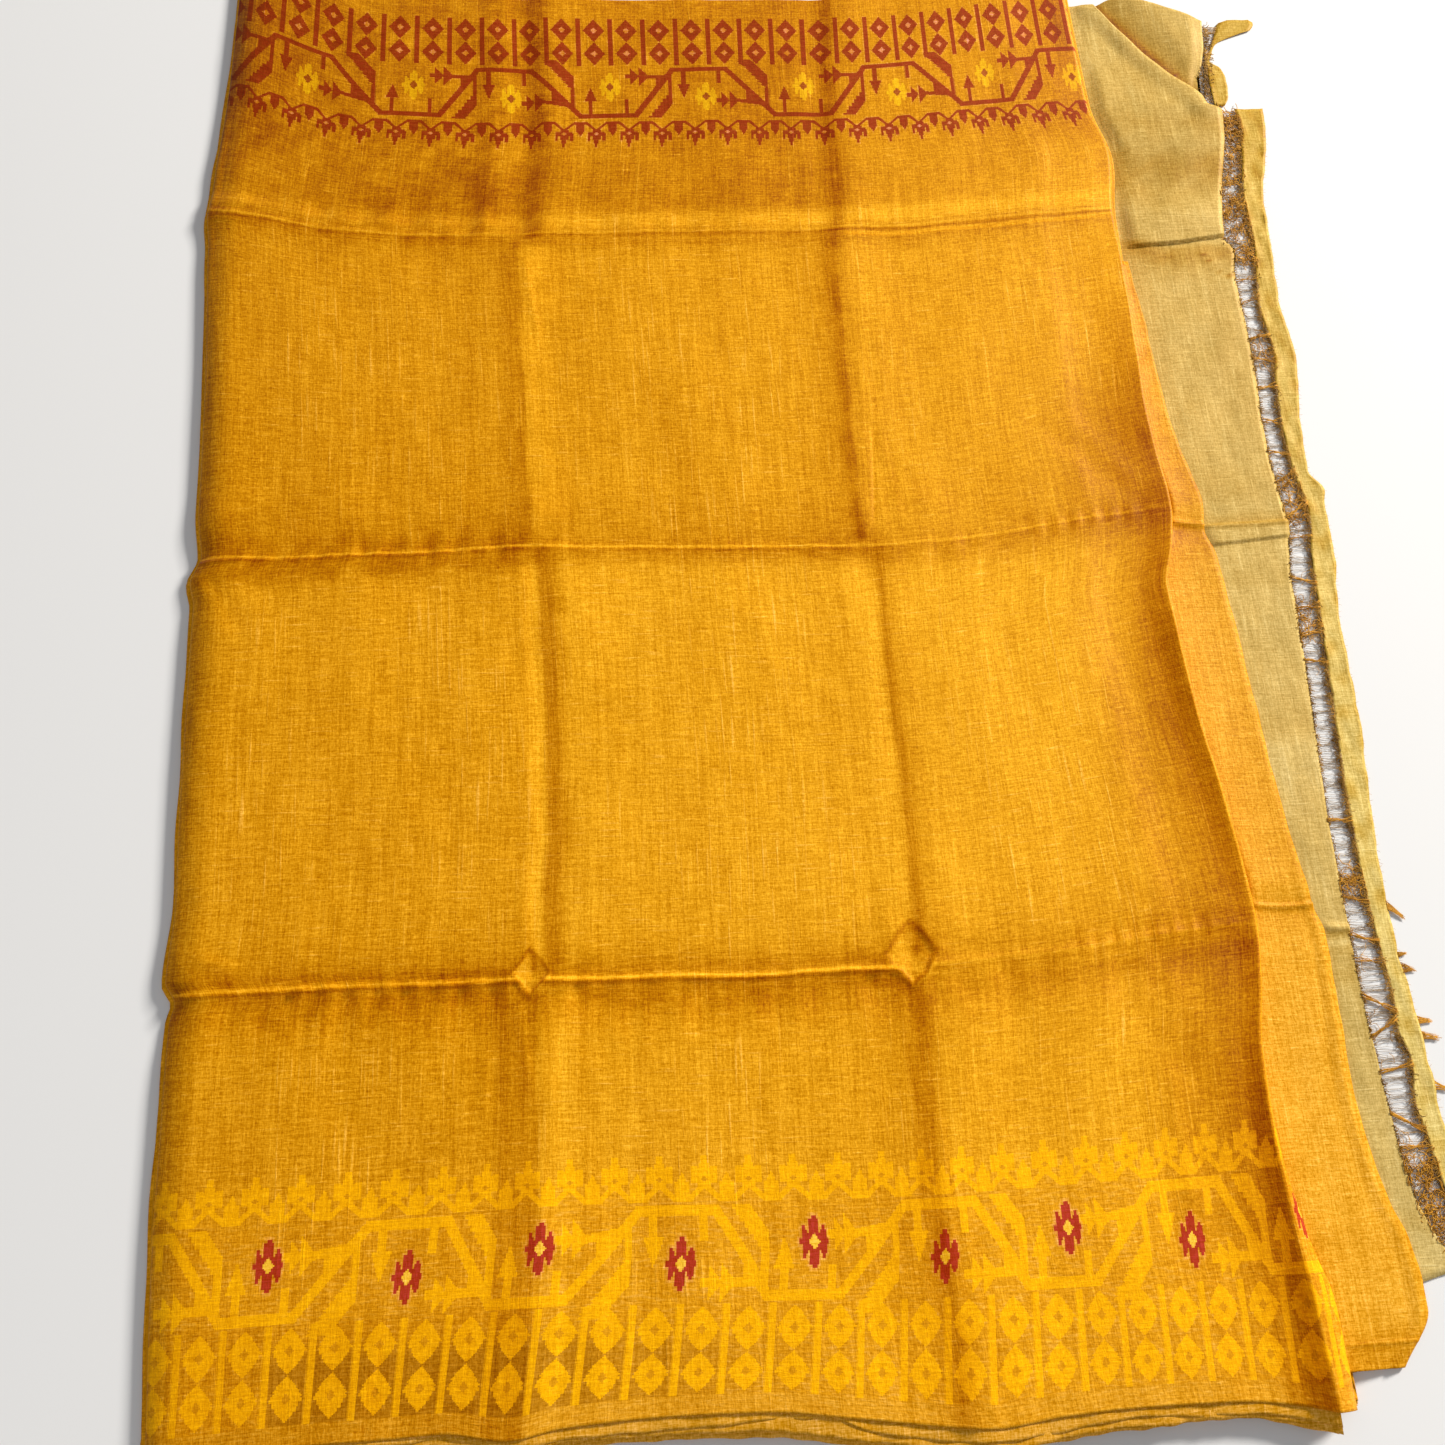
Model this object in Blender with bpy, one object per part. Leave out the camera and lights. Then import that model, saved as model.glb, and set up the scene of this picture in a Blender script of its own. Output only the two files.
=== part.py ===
"""A silk sari laid flat in its storage folds, in metres, with +Z up and +Y across the cloth's width.

The top stretch shows the whole width of the cloth between two patterned borders. Its right-hand
fold stands up as a lip. Beside it lie a strip of the next fold, a pale end stretch with one corner
behind a slanting pleat, a band of unwoven warp threads, and a narrow woven strip with a fringe.
All other layers of the folded length are one solid under the top stretch.

Plan places are first measured from the top stretch's lower left corner. The last step moves the
whole sari, so that the origin is under the middle of its box.
"""

import math
from collections import namedtuple

import bpy
import numpy as np

# Driving sizes
CLOTH_WIDTH = 1.142  # selvedge to selvedge
PANEL_LENGTH = 0.722  # left-hand fold to the crest of the right-hand lip
WALL = 0.0015  # one stretch of cloth, with its slub and the air in it
SEAT = 0.0003  # space between a piece and what it lies on
STACK_TOP = 0.012  # upper face of the top stretch, over the floor

# Storage folds across the cloth (v) and along it (u), in the cloth's own measure
CROSS_FOLDS = (0.280, 0.599, 0.885)
LENGTH_FOLDS = (0.241, 0.490)
SHOULDER = 0.120  # where the top left corner starts to swing upward
SWAP_REACH = 0.016  # a length fold turns from ridge to valley over this distance

# Depth of the folds
RIDGE_RISE = 0.0030
VALLEY_DROP = 0.0022
PANEL_CROWN = 0.0012
LEFT_ROUND = 0.009  # width over which the left-hand fold rounds down
LEFT_DROP = 0.0040
LIP_REACH = 0.062  # width over which the cloth climbs to the lip
LIP_DIP = 0.0018
PINCH_RISE = 0.0038  # diamond where two folds cross
PINCH_HALF = (0.0115, 0.0125)

# Where the laid cloth has its fold lines, for distances v across the cloth.
# The lip columns give the crest's height, the width of the face that turns down outside it,
# and the height where that face ends.
PlanRow = namedtuple(
    "PlanRow", "v x_left x_fold1 x_fold2 x_lip y_left y_shoulder y_fold1 y_fold2 y_lip"
)
PLAN = (
    PlanRow(0.000, 0.000, 0.224, 0.4895, 0.7120, 0.000, 0.004, 0.003, -0.007, -0.014),
    PlanRow(0.140, -0.005, 0.233, 0.4820, 0.7090, 0.139, 0.139, 0.139, 0.132, 0.137),
    PlanRow(0.280, -0.005, 0.236, 0.4855, 0.7215, 0.278, 0.277, 0.275, 0.271, 0.289),
    PlanRow(0.440, -0.008, 0.241, 0.4865, 0.7090, 0.434, 0.433, 0.432, 0.427, 0.449),
    PlanRow(0.599, -0.009, 0.236, 0.4855, 0.7198, 0.590, 0.590, 0.590, 0.584, 0.609),
    PlanRow(0.742, -0.012, 0.233, 0.4860, 0.7130, 0.745, 0.732, 0.729, 0.727, 0.747),
    PlanRow(0.885, -0.018, 0.228, 0.4885, 0.7205, 0.900, 0.874, 0.867, 0.869, 0.885),
    PlanRow(1.000, -0.010, 0.237, 0.4930, 0.7165, 1.035, 0.991, 0.985, 0.985, 1.005),
    PlanRow(1.142, -0.006, 0.236, 0.4985, 0.7170, 1.190, 1.129, 1.121, 1.119, 1.147),
)
LipRow = namedtuple("LipRow", "v crest face_width face_end")
LIP = (
    LipRow(0.000, 0.0190, 0.0150, 0.0074),
    LipRow(0.055, 0.0200, 0.0175, 0.0074),
    LipRow(0.085, 0.0192, 0.0115, 0.0074),
    LipRow(0.150, 0.0176, 0.0045, 0.0073),
    LipRow(0.280, 0.0145, 0.0030, 0.0071),
    LipRow(0.360, 0.0178, 0.0024, 0.0069),
    LipRow(0.450, 0.0188, 0.0024, 0.0067),
    LipRow(0.530, 0.0178, 0.0024, 0.0065),
    LipRow(0.599, 0.0146, 0.0030, 0.0063),
    LipRow(0.690, 0.0168, 0.0026, 0.0059),
    LipRow(0.790, 0.0150, 0.0028, 0.0054),
    LipRow(0.885, 0.0118, 0.0032, 0.0048),
    LipRow(1.000, 0.0098, 0.0034, 0.0044),
    LipRow(1.142, 0.0084, 0.0034, 0.0042),
)

# Relief of the three cross folds: height at distances from the fold line, toward the upper selvedge
FoldRow = namedtuple("FoldRow", "offset lower middle upper")
CROSS_RELIEF = (
    FoldRow(-0.024, 0.0000, 0.0000, 0.0000),
    FoldRow(-0.010, -0.0009, 0.0004, 0.0000),
    FoldRow(0.000, 0.0020, 0.0034, -0.0008),
    FoldRow(0.010, -0.0006, 0.0014, 0.0024),
    FoldRow(0.024, 0.0000, 0.0000, 0.0000),
)

# Strip of the next fold, by its place across the cloth
StripRow = namedtuple("StripRow", "y x_outer")
GOLD_STRIP = (
    StripRow(0.003, 0.7690),
    StripRow(0.036, 0.7912),
    StripRow(0.054, 0.7917),
    StripRow(0.078, 0.7885),
    StripRow(0.104, 0.7800),
    StripRow(0.172, 0.7720),
    StripRow(0.225, 0.7740),
    StripRow(0.278, 0.7755),
    StripRow(0.297, 0.7710),
    StripRow(0.363, 0.7638),
    StripRow(0.452, 0.7588),
    StripRow(0.532, 0.7543),
    StripRow(0.574, 0.7512),
    StripRow(0.594, 0.7465),
    StripRow(0.614, 0.7488),
    StripRow(0.668, 0.7398),
    StripRow(0.712, 0.7345),
    StripRow(0.788, 0.7310),
    StripRow(0.842, 0.7268),
)
STRIP_ENDS = (0.016, 0.841)  # lines of the cloth between which the strip shows
STRIP_STEP = 0.0005  # the strip starts this far under the end of the lip's face
STRIP_LIES_AT = 0.0034  # upper face of the strip at its outer edge
STRIP_OVERHANG = 0.008  # how far it reaches past the layers under it
STRIP_FOLDS = (0.299, 0.598)
STRIP_FOLD_RISE = 0.0012
BARE_LEDGE = 0.003  # how far the layers under the lip reach past it where there is no strip

# Pale end stretch, by its place across the cloth: edge beside the unwoven band.
# Above the last whole row this edge is the slanting pleat.
PaleRow = namedtuple("PaleRow", "y x_outer")
PALE_STRETCH = (
    PaleRow(0.058, 0.8190),
    PaleRow(0.083, 0.8060),
    PaleRow(0.107, 0.7990),
    PaleRow(0.160, 0.7950),
    PaleRow(0.231, 0.7930),
    PaleRow(0.286, 0.7937),
    PaleRow(0.358, 0.7954),
    PaleRow(0.446, 0.8020),
    PaleRow(0.550, 0.8073),
    PaleRow(0.600, 0.8136),
    PaleRow(0.660, 0.8108),
    PaleRow(0.769, 0.8159),
    PaleRow(0.823, 0.8152),
    PaleRow(0.853, 0.8205),
    PaleRow(0.866, 0.8130),
    PaleRow(0.920, 0.8215),
    PaleRow(0.975, 0.8325),
    PaleRow(0.998, 0.8345),
    PaleRow(1.004, 0.8225),
    PaleRow(1.014, 0.8195),
    PaleRow(1.043, 0.7915),
    PaleRow(1.079, 0.7655),
    PaleRow(1.120, 0.7395),
)
PALE_HEM_SLOPE = 0.25  # the lower hem rises to the right
PALE_PLEATS = (0.866, 0.589, 0.283)  # raised folds across it
PLEAT_RISE = (0.0036, 0.0020, 0.0014)
PLEAT_HALF = (0.013, 0.012, 0.009)
SLANT_FOOT = (0.8220, 1.0060)  # lower and upper ends of the slanting pleat
SLANT_HEAD = (0.7395, 1.1200)
SLANT_RISE = 0.0022
SLANT_FLAT = 0.006
SLANT_REACH = 0.022

# Corner behind the slanting pleat, by its place along the cloth
CornerRow = namedtuple("CornerRow", "x_low x_high y_low y_high")
PALE_CORNER = (
    CornerRow(0.7420, 0.7425, 1.1130, 1.1205),
    CornerRow(0.7560, 0.7580, 1.0860, 1.1270),
    CornerRow(0.7760, 0.7810, 1.0590, 1.1245),
    CornerRow(0.7940, 0.8030, 1.0350, 1.1160),
    CornerRow(0.8080, 0.8190, 1.0190, 1.1090),
    CornerRow(0.8200, 0.8356, 1.0070, 1.1006),
)
CORNER_BULGE = (0.0, -0.0020, 0.0016, 0.0)  # the corner's right-hand edge, row by row upward

# Narrow woven strips past the unwoven threads, by their place across the cloth
EdgeRow = namedtuple("EdgeRow", "y x_inner x_outer")
END_STRIP = (
    EdgeRow(0.0660, 0.8340, 0.8510),
    EdgeRow(0.0900, 0.8255, 0.8405),
    EdgeRow(0.1150, 0.8190, 0.8345),
    EdgeRow(0.1450, 0.8160, 0.8300),
    EdgeRow(0.1590, 0.8127, 0.8292),
    EdgeRow(0.1900, 0.8165, 0.8290),
    EdgeRow(0.2100, 0.8118, 0.8280),
    EdgeRow(0.2350, 0.8138, 0.8275),
    EdgeRow(0.2600, 0.8123, 0.8246),
    EdgeRow(0.3100, 0.8106, 0.8252),
    EdgeRow(0.3580, 0.8116, 0.8282),
    EdgeRow(0.4450, 0.8170, 0.8358),
    EdgeRow(0.5110, 0.8220, 0.8372),
    EdgeRow(0.5500, 0.8250, 0.8425),
    EdgeRow(0.5640, 0.8260, 0.8448),
    EdgeRow(0.6080, 0.8318, 0.8462),
    EdgeRow(0.6250, 0.8296, 0.8490),
    EdgeRow(0.6420, 0.8272, 0.8396),
    EdgeRow(0.6820, 0.8260, 0.8418),
    EdgeRow(0.7260, 0.8290, 0.8486),
    EdgeRow(0.7540, 0.8330, 0.8512),
    EdgeRow(0.7930, 0.8300, 0.8480),
    EdgeRow(0.8670, 0.8376, 0.8527),
    EdgeRow(0.9040, 0.8378, 0.8549),
    EdgeRow(0.9560, 0.8455, 0.8670),
    EdgeRow(0.9890, 0.8500, 0.8722),
    EdgeRow(1.0020, 0.8470, 0.8728),
)
CORNER_STRIP = (
    EdgeRow(1.0060, 0.8305, 0.8400),
    EdgeRow(1.0130, 0.8300, 0.8442),
    EdgeRow(1.0370, 0.8308, 0.8468),
    EdgeRow(1.0490, 0.8318, 0.8434),
    EdgeRow(1.0560, 0.8322, 0.8354),
    EdgeRow(1.0610, 0.8348, 0.8382),
    EdgeRow(1.0716, 0.8390, 0.8422),
    EdgeRow(1.0773, 0.8412, 0.8472),
    EdgeRow(1.0863, 0.8448, 0.8670),
    EdgeRow(1.0908, 0.8467, 0.8787),
    EdgeRow(1.0990, 0.8500, 0.8830),
    EdgeRow(1.1030, 0.8600, 0.8790),
)
THIN_CLOTH = 0.0012  # the pale cloth is more open and thinner than the gold

# Unwoven threads and fringe
RAIL_WIDTH = 0.0011  # the last picks of weft that hold the threads' roots
RAIL_HEIGHT = 0.0012
THREAD_CLEAR = 0.0003  # threads lie this far over the floor
GAP_BUNDLES = 68
BUNDLE_WIDTH = (0.0011, 0.0023)
BUNDLE_HEIGHT = 0.0009
CORNER_BUNDLES = 9
TuftRow = namedtuple("TuftRow", "y length width lean")
FRINGE = (
    TuftRow(0.0850, 0.0075, 0.0030, -0.30),
    TuftRow(0.1050, 0.0100, 0.0036, -0.45),
    TuftRow(0.1310, 0.0070, 0.0028, -0.25),
    TuftRow(0.1730, 0.0095, 0.0042, -0.35),
    TuftRow(0.2060, 0.0120, 0.0036, -0.20),
    TuftRow(0.2160, 0.0085, 0.0034, -0.10),
    TuftRow(0.2520, 0.0080, 0.0050, -0.25),
    TuftRow(0.2610, 0.0045, 0.0024, 0.10),
    TuftRow(0.2960, 0.0135, 0.0044, -0.75),
)

# Steps down the side of the hidden layers: share of the height there, and how far each
# layer's fold or hem stands out on the left, along the lower hem and along the upper selvedge
LayerRow = namedtuple("LayerRow", "level left hem selvedge")
LAYER_EDGES = (
    LayerRow(0.90, 0.0020, 0.0030, 0.0012),
    LayerRow(0.82, 0.0008, 0.0078, 0.0004),
    LayerRow(0.72, 0.0040, 0.0092, 0.0034),
    LayerRow(0.60, 0.0022, 0.0078, 0.0020),
    LayerRow(0.50, 0.0032, 0.0140, 0.0030),
    LayerRow(0.38, 0.0014, 0.0125, 0.0012),
    LayerRow(0.26, 0.0046, 0.0150, 0.0042),
    LayerRow(0.13, 0.0026, 0.0134, 0.0024),
    LayerRow(0.00, 0.0036, 0.0144, 0.0030),
)
HEM_WAVES = 5.0  # waves of the under hems along one panel
HEM_WAVE_SHARE = 0.24

# Lines of the modelling grid, closer together at the folds
FOLD_STEPS = (-0.024, -0.010, 0.0, 0.010, 0.024)
FOLD_STEPS_U = (-0.021, -0.008, 0.0, 0.008, 0.021)
OPEN_V = (0.0, 0.016, 0.055, 0.085, 0.150, 0.205, 0.360, 0.450, 0.530)
OPEN_V_UPPER = (0.670, 0.742, 0.841, 0.955, 1.015, 1.080, CLOTH_WIDTH)
OPEN_U = (0.0, 0.0018, LEFT_ROUND, 0.060, 0.120, 0.175, 0.300, 0.366, 0.430)
OPEN_U_RIGHT = (0.550, 0.610, 0.660, 0.688, 0.706, 0.716, PANEL_LENGTH)
FACE_SHARES = ((0.42, 0.30), (1.0, 1.0))  # shares of the lip face's width and of its drop
TERRACE_SHARES = (0.0, 0.35, 0.70, 1.0)

Look = namedtuple("Look", "colour roughness")
LOOKS = {
    "gold_silk": Look((0.74, 0.40, 0.035), 0.52),
    "pale_silk": Look((0.67, 0.53, 0.20), 0.60),
    "warp_threads": Look((0.42, 0.22, 0.05), 0.70),
}


def smooth_between(places, values, at):
    """Values on a smooth curve through a table, with no overshoot between its rows."""
    places = np.asarray(places, float)
    values = np.asarray(values, float)
    at = np.clip(np.asarray(at, float), places[0], places[-1])
    step = np.diff(places)
    rise = np.diff(values) / step
    slope = np.zeros(len(places))
    same_way = rise[:-1] * rise[1:] > 0
    total = np.where(same_way, rise[:-1] + rise[1:], 1.0)
    slope[1:-1] = np.where(same_way, 2 * rise[:-1] * rise[1:] / total, 0.0)
    slope[0], slope[-1] = rise[0], rise[-1]
    i = np.clip(np.searchsorted(places, at, side="right") - 1, 0, len(step) - 1)
    t = (at - places[i]) / step[i]
    start, end = values[i], values[i + 1]
    lead_in, lead_out = slope[i] * step[i], slope[i + 1] * step[i]
    return (
        start * (1 + 2 * t) * (1 - t) ** 2
        + lead_in * t * (1 - t) ** 2
        + end * t * t * (3 - 2 * t)
        + lead_out * t * t * (t - 1)
    )


def column(rows, name, at):
    """One named column of a table, read at places given by its first column."""
    return smooth_between([row[0] for row in rows], [getattr(row, name) for row in rows], at)


def soft_step(value):
    """0 below 0, 1 above 1 and a smooth rise between."""
    value = np.clip(value, 0.0, 1.0)
    return value * value * (3 - 2 * value)


def plan_place(u, v):
    """Where the point u along and v across the cloth lies on the floor plan."""
    stops = (0.0, *LENGTH_FOLDS, PANEL_LENGTH)
    xs = [column(PLAN, name, v) for name in ("x_left", "x_fold1", "x_fold2", "x_lip")]
    x = np.interp(u, stops, xs)
    stops = (0.0, SHOULDER, *LENGTH_FOLDS, PANEL_LENGTH)
    names = ("y_left", "y_shoulder", "y_fold1", "y_fold2", "y_lip")
    y = smooth_between(stops, [column(PLAN, name, v) for name in names], u)
    return float(x), float(y)


def length_fold_relief(u, v):
    """Ridge and valley by turns along each length fold: they change over at every cross fold."""
    turn = 1.0
    for fold in CROSS_FOLDS:
        turn *= 1 - 2 * soft_step((v - fold) / (2 * SWAP_REACH) + 0.5)
    depth = RIDGE_RISE if turn > 0 else VALLEY_DROP
    away = min(abs(u - fold) for fold in LENGTH_FOLDS)
    return turn * depth * np.interp(away, (0.0, 0.008, 0.021), (1.0, 0.5, 0.0))


def cross_fold_relief(v):
    """Height that the three cross folds give at v."""
    offsets = [row.offset for row in CROSS_RELIEF]
    rise = 0.0
    for fold, name in zip(CROSS_FOLDS, ("lower", "middle", "upper")):
        heights = [getattr(row, name) for row in CROSS_RELIEF]
        rise += float(np.interp(v - fold, offsets, heights, left=0.0, right=0.0))
    return rise


def pinch_relief(u, v):
    """Small diamonds that stand up where the lower cross fold meets the length folds."""
    rise = 0.0
    for fold in LENGTH_FOLDS:
        across = abs(u - fold) / PINCH_HALF[0] + abs(v - CROSS_FOLDS[0]) / PINCH_HALF[1]
        rise += PINCH_RISE * max(0.0, 1 - across)
    return rise


def panel_crown(u, v):
    """Each panel between folds is slightly full."""
    lines_u = (0.0, *LENGTH_FOLDS, PANEL_LENGTH)
    lines_v = (0.0, *CROSS_FOLDS, CLOTH_WIDTH)
    rise = PANEL_CROWN
    for place, lines in ((u, lines_u), (v, lines_v)):
        i = int(np.clip(np.searchsorted(lines, place, side="right") - 1, 0, len(lines) - 2))
        rise *= math.sin(math.pi * np.clip((place - lines[i]) / (lines[i + 1] - lines[i]), 0, 1))
    return rise


def top_height(u, v):
    """Height of the top stretch's upper face."""
    height = STACK_TOP + panel_crown(u, v) + pinch_relief(u, v)
    height += length_fold_relief(u, v) + cross_fold_relief(v)
    height -= LEFT_DROP * max(0.0, 1 - u / LEFT_ROUND) ** 2
    climb = np.clip(1 - (PANEL_LENGTH - u) / LIP_REACH, 0.0, 1.0)
    height -= LIP_DIP * math.sin(math.pi * climb) * (1 - climb)
    crest = float(column(LIP, "crest", v))
    return height + (crest - height) * climb**2.2


def top_section(v, lines_u):
    """One section of the top stretch: over the stack, up to the lip and down its outer face."""
    points = [(*plan_place(u, v), top_height(u, v)) for u in lines_u]
    x, y, crest = points[-1]
    width = float(column(LIP, "face_width", v))
    drop = crest - float(column(LIP, "face_end", v))
    points += [(x + along * width, y, crest - down * drop) for along, down in FACE_SHARES]
    return points


def offset_inward(points, distance):
    """A grid of points moved by a distance against the normal of its upper side."""
    along_v, along_u = np.gradient(points, axis=(0, 1))
    normal = np.cross(along_u, along_v)
    normal /= np.linalg.norm(normal, axis=2, keepdims=True)
    return points - normal * distance


def colour_material(name):
    """A plain Principled material, shared by the pieces that have this finish."""
    made = bpy.data.materials.get(name)
    if made is None:
        made = bpy.data.materials.new(name)
        made.use_nodes = True
        shader = made.node_tree.nodes["Principled BSDF"]
        shader.inputs["Base Color"].default_value = (*LOOKS[name].colour, 1.0)
        shader.inputs["Roughness"].default_value = LOOKS[name].roughness
        shader.inputs["Metallic"].default_value = 0.0
        made.diffuse_color = (*LOOKS[name].colour, 1.0)
    return made


def solid(name, points, faces, finish):
    """A named object from points and faces that already close."""
    mesh = bpy.data.meshes.new(name)
    mesh.from_pydata([tuple(map(float, point)) for point in points], [], faces)
    mesh.materials.append(colour_material(finish))
    mesh.validate()
    made = bpy.data.objects.new(name, mesh)
    bpy.context.scene.collection.objects.link(made)
    return made


def short_ways(points):
    """For each quad of a grid, whether its diagonal from the first corner is the more level."""
    z = points[:, :, 2]
    return np.abs(z[:-1, :-1] - z[1:, 1:]) <= np.abs(z[:-1, 1:] - z[1:, :-1])


def grid_faces(ways, start=0, flip=False):
    """Triangles of a grid of points whose numbers run along each row."""
    columns = ways.shape[1] + 1
    faces = []
    for r, row in enumerate(ways):
        for c, first in enumerate(row):
            a = start + r * columns + c
            b, d = a + 1, a + columns
            pair = [(a, b, d + 1), (a, d + 1, d)] if first else [(a, b, d), (b, d + 1, d)]
            faces += [face[::-1] if flip else face for face in pair]
    return faces


def grid_rim(rows, columns, start=0):
    """Numbers of the points round a grid, anticlockwise from above."""
    low = [start + c for c in range(columns)]
    right = [start + r * columns + columns - 1 for r in range(1, rows)]
    high = [start + (rows - 1) * columns + c for c in range(columns - 2, -1, -1)]
    left = [start + r * columns for r in range(rows - 2, 0, -1)]
    return low + right + high + left


def band_faces(upper, lower):
    """Quads between two rings of points, for a wall that faces outward."""
    count = len(upper)
    return [
        (upper[i], lower[i], lower[(i + 1) % count], upper[(i + 1) % count]) for i in range(count)
    ]


def cloth_wall(name, upper, lower, finish):
    """A wall of cloth between two grids of points."""
    rows, columns = upper.shape[:2]
    count = rows * columns
    points = [*upper.reshape(-1, 3), *lower.reshape(-1, 3)]
    ways = short_ways(upper)
    faces = grid_faces(ways) + grid_faces(ways, count, flip=True)
    faces += band_faces(grid_rim(rows, columns), grid_rim(rows, columns, count))
    return solid(name, points, faces, finish)


def floor_wall(name, upper, thickness, finish):
    """A wall that lies on the floor, flat below except where the cloth is lifted."""
    lower = upper.copy()
    lower[:, :, 2] = np.maximum(0.0, upper[:, :, 2] - thickness)
    return cloth_wall(name, upper, lower, finish)


def grid_lines():
    """The u and v lines of the top stretch's grid."""
    lines_v = {*OPEN_V, *OPEN_V_UPPER}
    lines_v.update(fold + step for fold in CROSS_FOLDS for step in FOLD_STEPS)
    lines_u = {*OPEN_U, *OPEN_U_RIGHT}
    lines_u.update(fold + step for fold in LENGTH_FOLDS for step in FOLD_STEPS_U)
    return sorted(lines_u), sorted(lines_v)


def terrace_row(v):
    """Points right of the lip on the line v of the cloth, and the outer edge of what lies there.
    The strip lies on these points, and the hidden layers are a wall's thickness under them."""
    x, y = plan_place(PANEL_LENGTH, v)
    start = x + float(column(LIP, "face_width", v)) + SEAT
    high = float(column(LIP, "face_end", v)) - STRIP_STEP
    outer = float(column(GOLD_STRIP, "x_outer", y))
    end = outer - STRIP_OVERHANG
    if not STRIP_ENDS[0] < v < STRIP_ENDS[1]:
        end = start + BARE_LEDGE
    if not STRIP_ENDS[0] <= v <= STRIP_ENDS[1]:
        outer = end + STRIP_OVERHANG
    xs = [start + (end - start) * share for share in TERRACE_SHARES] + [outer]
    points = []
    for x in xs:
        settled = math.sin(0.5 * math.pi * (x - start) / (outer - start))
        points.append((x, y, high + (STRIP_LIES_AT - high) * settled))
    return points


def make_top_stretch(lines_u, lines_v):
    """The whole width of the cloth, from the left-hand fold over the lip."""
    upper = np.array([top_section(v, lines_u) for v in lines_v])
    lower = offset_inward(upper, WALL)
    return upper, cloth_wall("top_stretch", upper, lower, "gold_silk")


def make_hidden_layers(top, terrace):
    """All other layers as one solid: its upper side follows the cloth on it, and its sides step
    in and out at each layer's fold, hem or selvedge."""
    under = offset_inward(top, WALL + SEAT)
    ledge = terrace[:, :-1] - np.array((0.0, 0.0, WALL + SEAT))
    grid = np.concatenate([under, ledge], axis=1)
    grid[0, :, 1] += 0.0012
    grid[-1, :, 1] -= 0.0050
    rows, columns = grid.shape[:2]
    points = [grid.reshape(-1, 3)]
    joint = np.ones((rows - 1, 1), bool)
    faces = grid_faces(np.hstack([short_ways(top), joint, short_ways(terrace)[:, :-1]]))
    rim = grid_rim(rows, columns)
    base = points[0][rim]
    on_hem = np.arange(len(rim)) < columns
    on_left = np.array([i % columns == 0 for i in rim])
    on_top = np.array([i >= (rows - 1) * columns for i in rim])
    ring = rim
    for number, layer in enumerate(LAYER_EDGES):
        wave = HEM_WAVES * base[:, 0] / PANEL_LENGTH + 0.37 * number
        swell = 1 + HEM_WAVE_SHARE * np.sin(2 * math.pi * wave)
        level = base.copy()
        level[:, 0] -= on_left * layer.left
        level[:, 1] -= on_hem * layer.hem * swell
        level[:, 1] += on_top * layer.selvedge
        level[:, 2] *= layer.level
        start = sum(len(block) for block in points)
        points.append(level)
        lower = list(range(start, start + len(rim)))
        faces += band_faces(ring, lower)
        ring = lower
    faces.append(tuple(ring[::-1]))
    return solid("hidden_layers", np.concatenate(points), faces, "gold_silk")


def make_gold_strip(lines_v, terrace):
    """The strip of the next fold that shows right of the lip."""
    shown = [STRIP_ENDS[0] <= v <= STRIP_ENDS[1] for v in lines_v]
    upper = terrace[shown].copy()
    for row in upper:
        away = min(abs(row[0, 1] - fold) for fold in STRIP_FOLDS)
        row[:, 2] += STRIP_FOLD_RISE * max(0.0, 1 - away / 0.012)
    lower = upper - np.array((0.0, 0.0, WALL))
    return cloth_wall("gold_strip", upper, lower, "gold_silk")


def distance_to_slant(x, y):
    """Distance from the slanting pleat's edge."""
    foot, head = np.array(SLANT_FOOT), np.array(SLANT_HEAD)
    line = head - foot
    share = np.clip(np.dot((x, y) - foot, line) / np.dot(line, line), 0.0, 1.0)
    return float(np.linalg.norm((x, y) - foot - share * line))


def pale_height(x, y, left):
    """Upper face of the pale stretch: flat on the floor, with its pleats raised."""
    height = THIN_CLOTH
    clear_of_strip = soft_step((x - left - STRIP_OVERHANG) / 0.010)
    for place, rise, half in zip(PALE_PLEATS, PLEAT_RISE, PLEAT_HALF):
        height += rise * max(0.0, 1 - abs(y - place) / half) * clear_of_strip
    lift = soft_step(1 - (distance_to_slant(x, y) - SLANT_FLAT) / (SLANT_REACH - SLANT_FLAT))
    return height + SLANT_RISE * lift


def pale_rows(terrace):
    """Places across the cloth where the pale stretch has a row, with its two edges there."""
    beside = [(float(row[-2, 1]), float(row[-2, 0])) for row in terrace]
    low, high = PALE_STRETCH[0].y, PALE_STRETCH[-1].y
    ys = [y for y, x in beside if low < y < high]
    pleats = [y + step * half for y, half in zip(PALE_PLEATS, PLEAT_HALF) for step in (-1, 0, 1)]
    for y in [row.y for row in PALE_STRETCH] + pleats:
        if min(abs(y - place) for place in ys) > 0.0045 or y in (low, high):
            ys.append(y)
    ys.sort()
    edges = [float(np.interp(y, *zip(*beside))) for y in ys]
    edges[0] = max([edges[0]] + [x for y, x in beside if low - 0.015 < y < low])
    rights = [float(column(PALE_STRETCH, "x_outer", y)) for y in ys]
    return [(y, left + SEAT, right) for y, left, right in zip(ys, edges, rights)]


def make_pale_stretch(rows):
    """The pale end stretch, up to the slanting pleat."""
    sections = []
    for y, left, right in rows:
        section = []
        for share in (0.0, 0.22, 0.45, 0.7, 0.88, 1.0):
            x = left + (right - left) * share
            drop = PALE_HEM_SLOPE * (right - x) if y == rows[0][0] else 0.0
            section.append((x, y - drop, pale_height(x, y, left)))
        sections.append(section)
    return floor_wall("pale_stretch", np.array(sections), THIN_CLOTH, "pale_silk")


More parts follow.
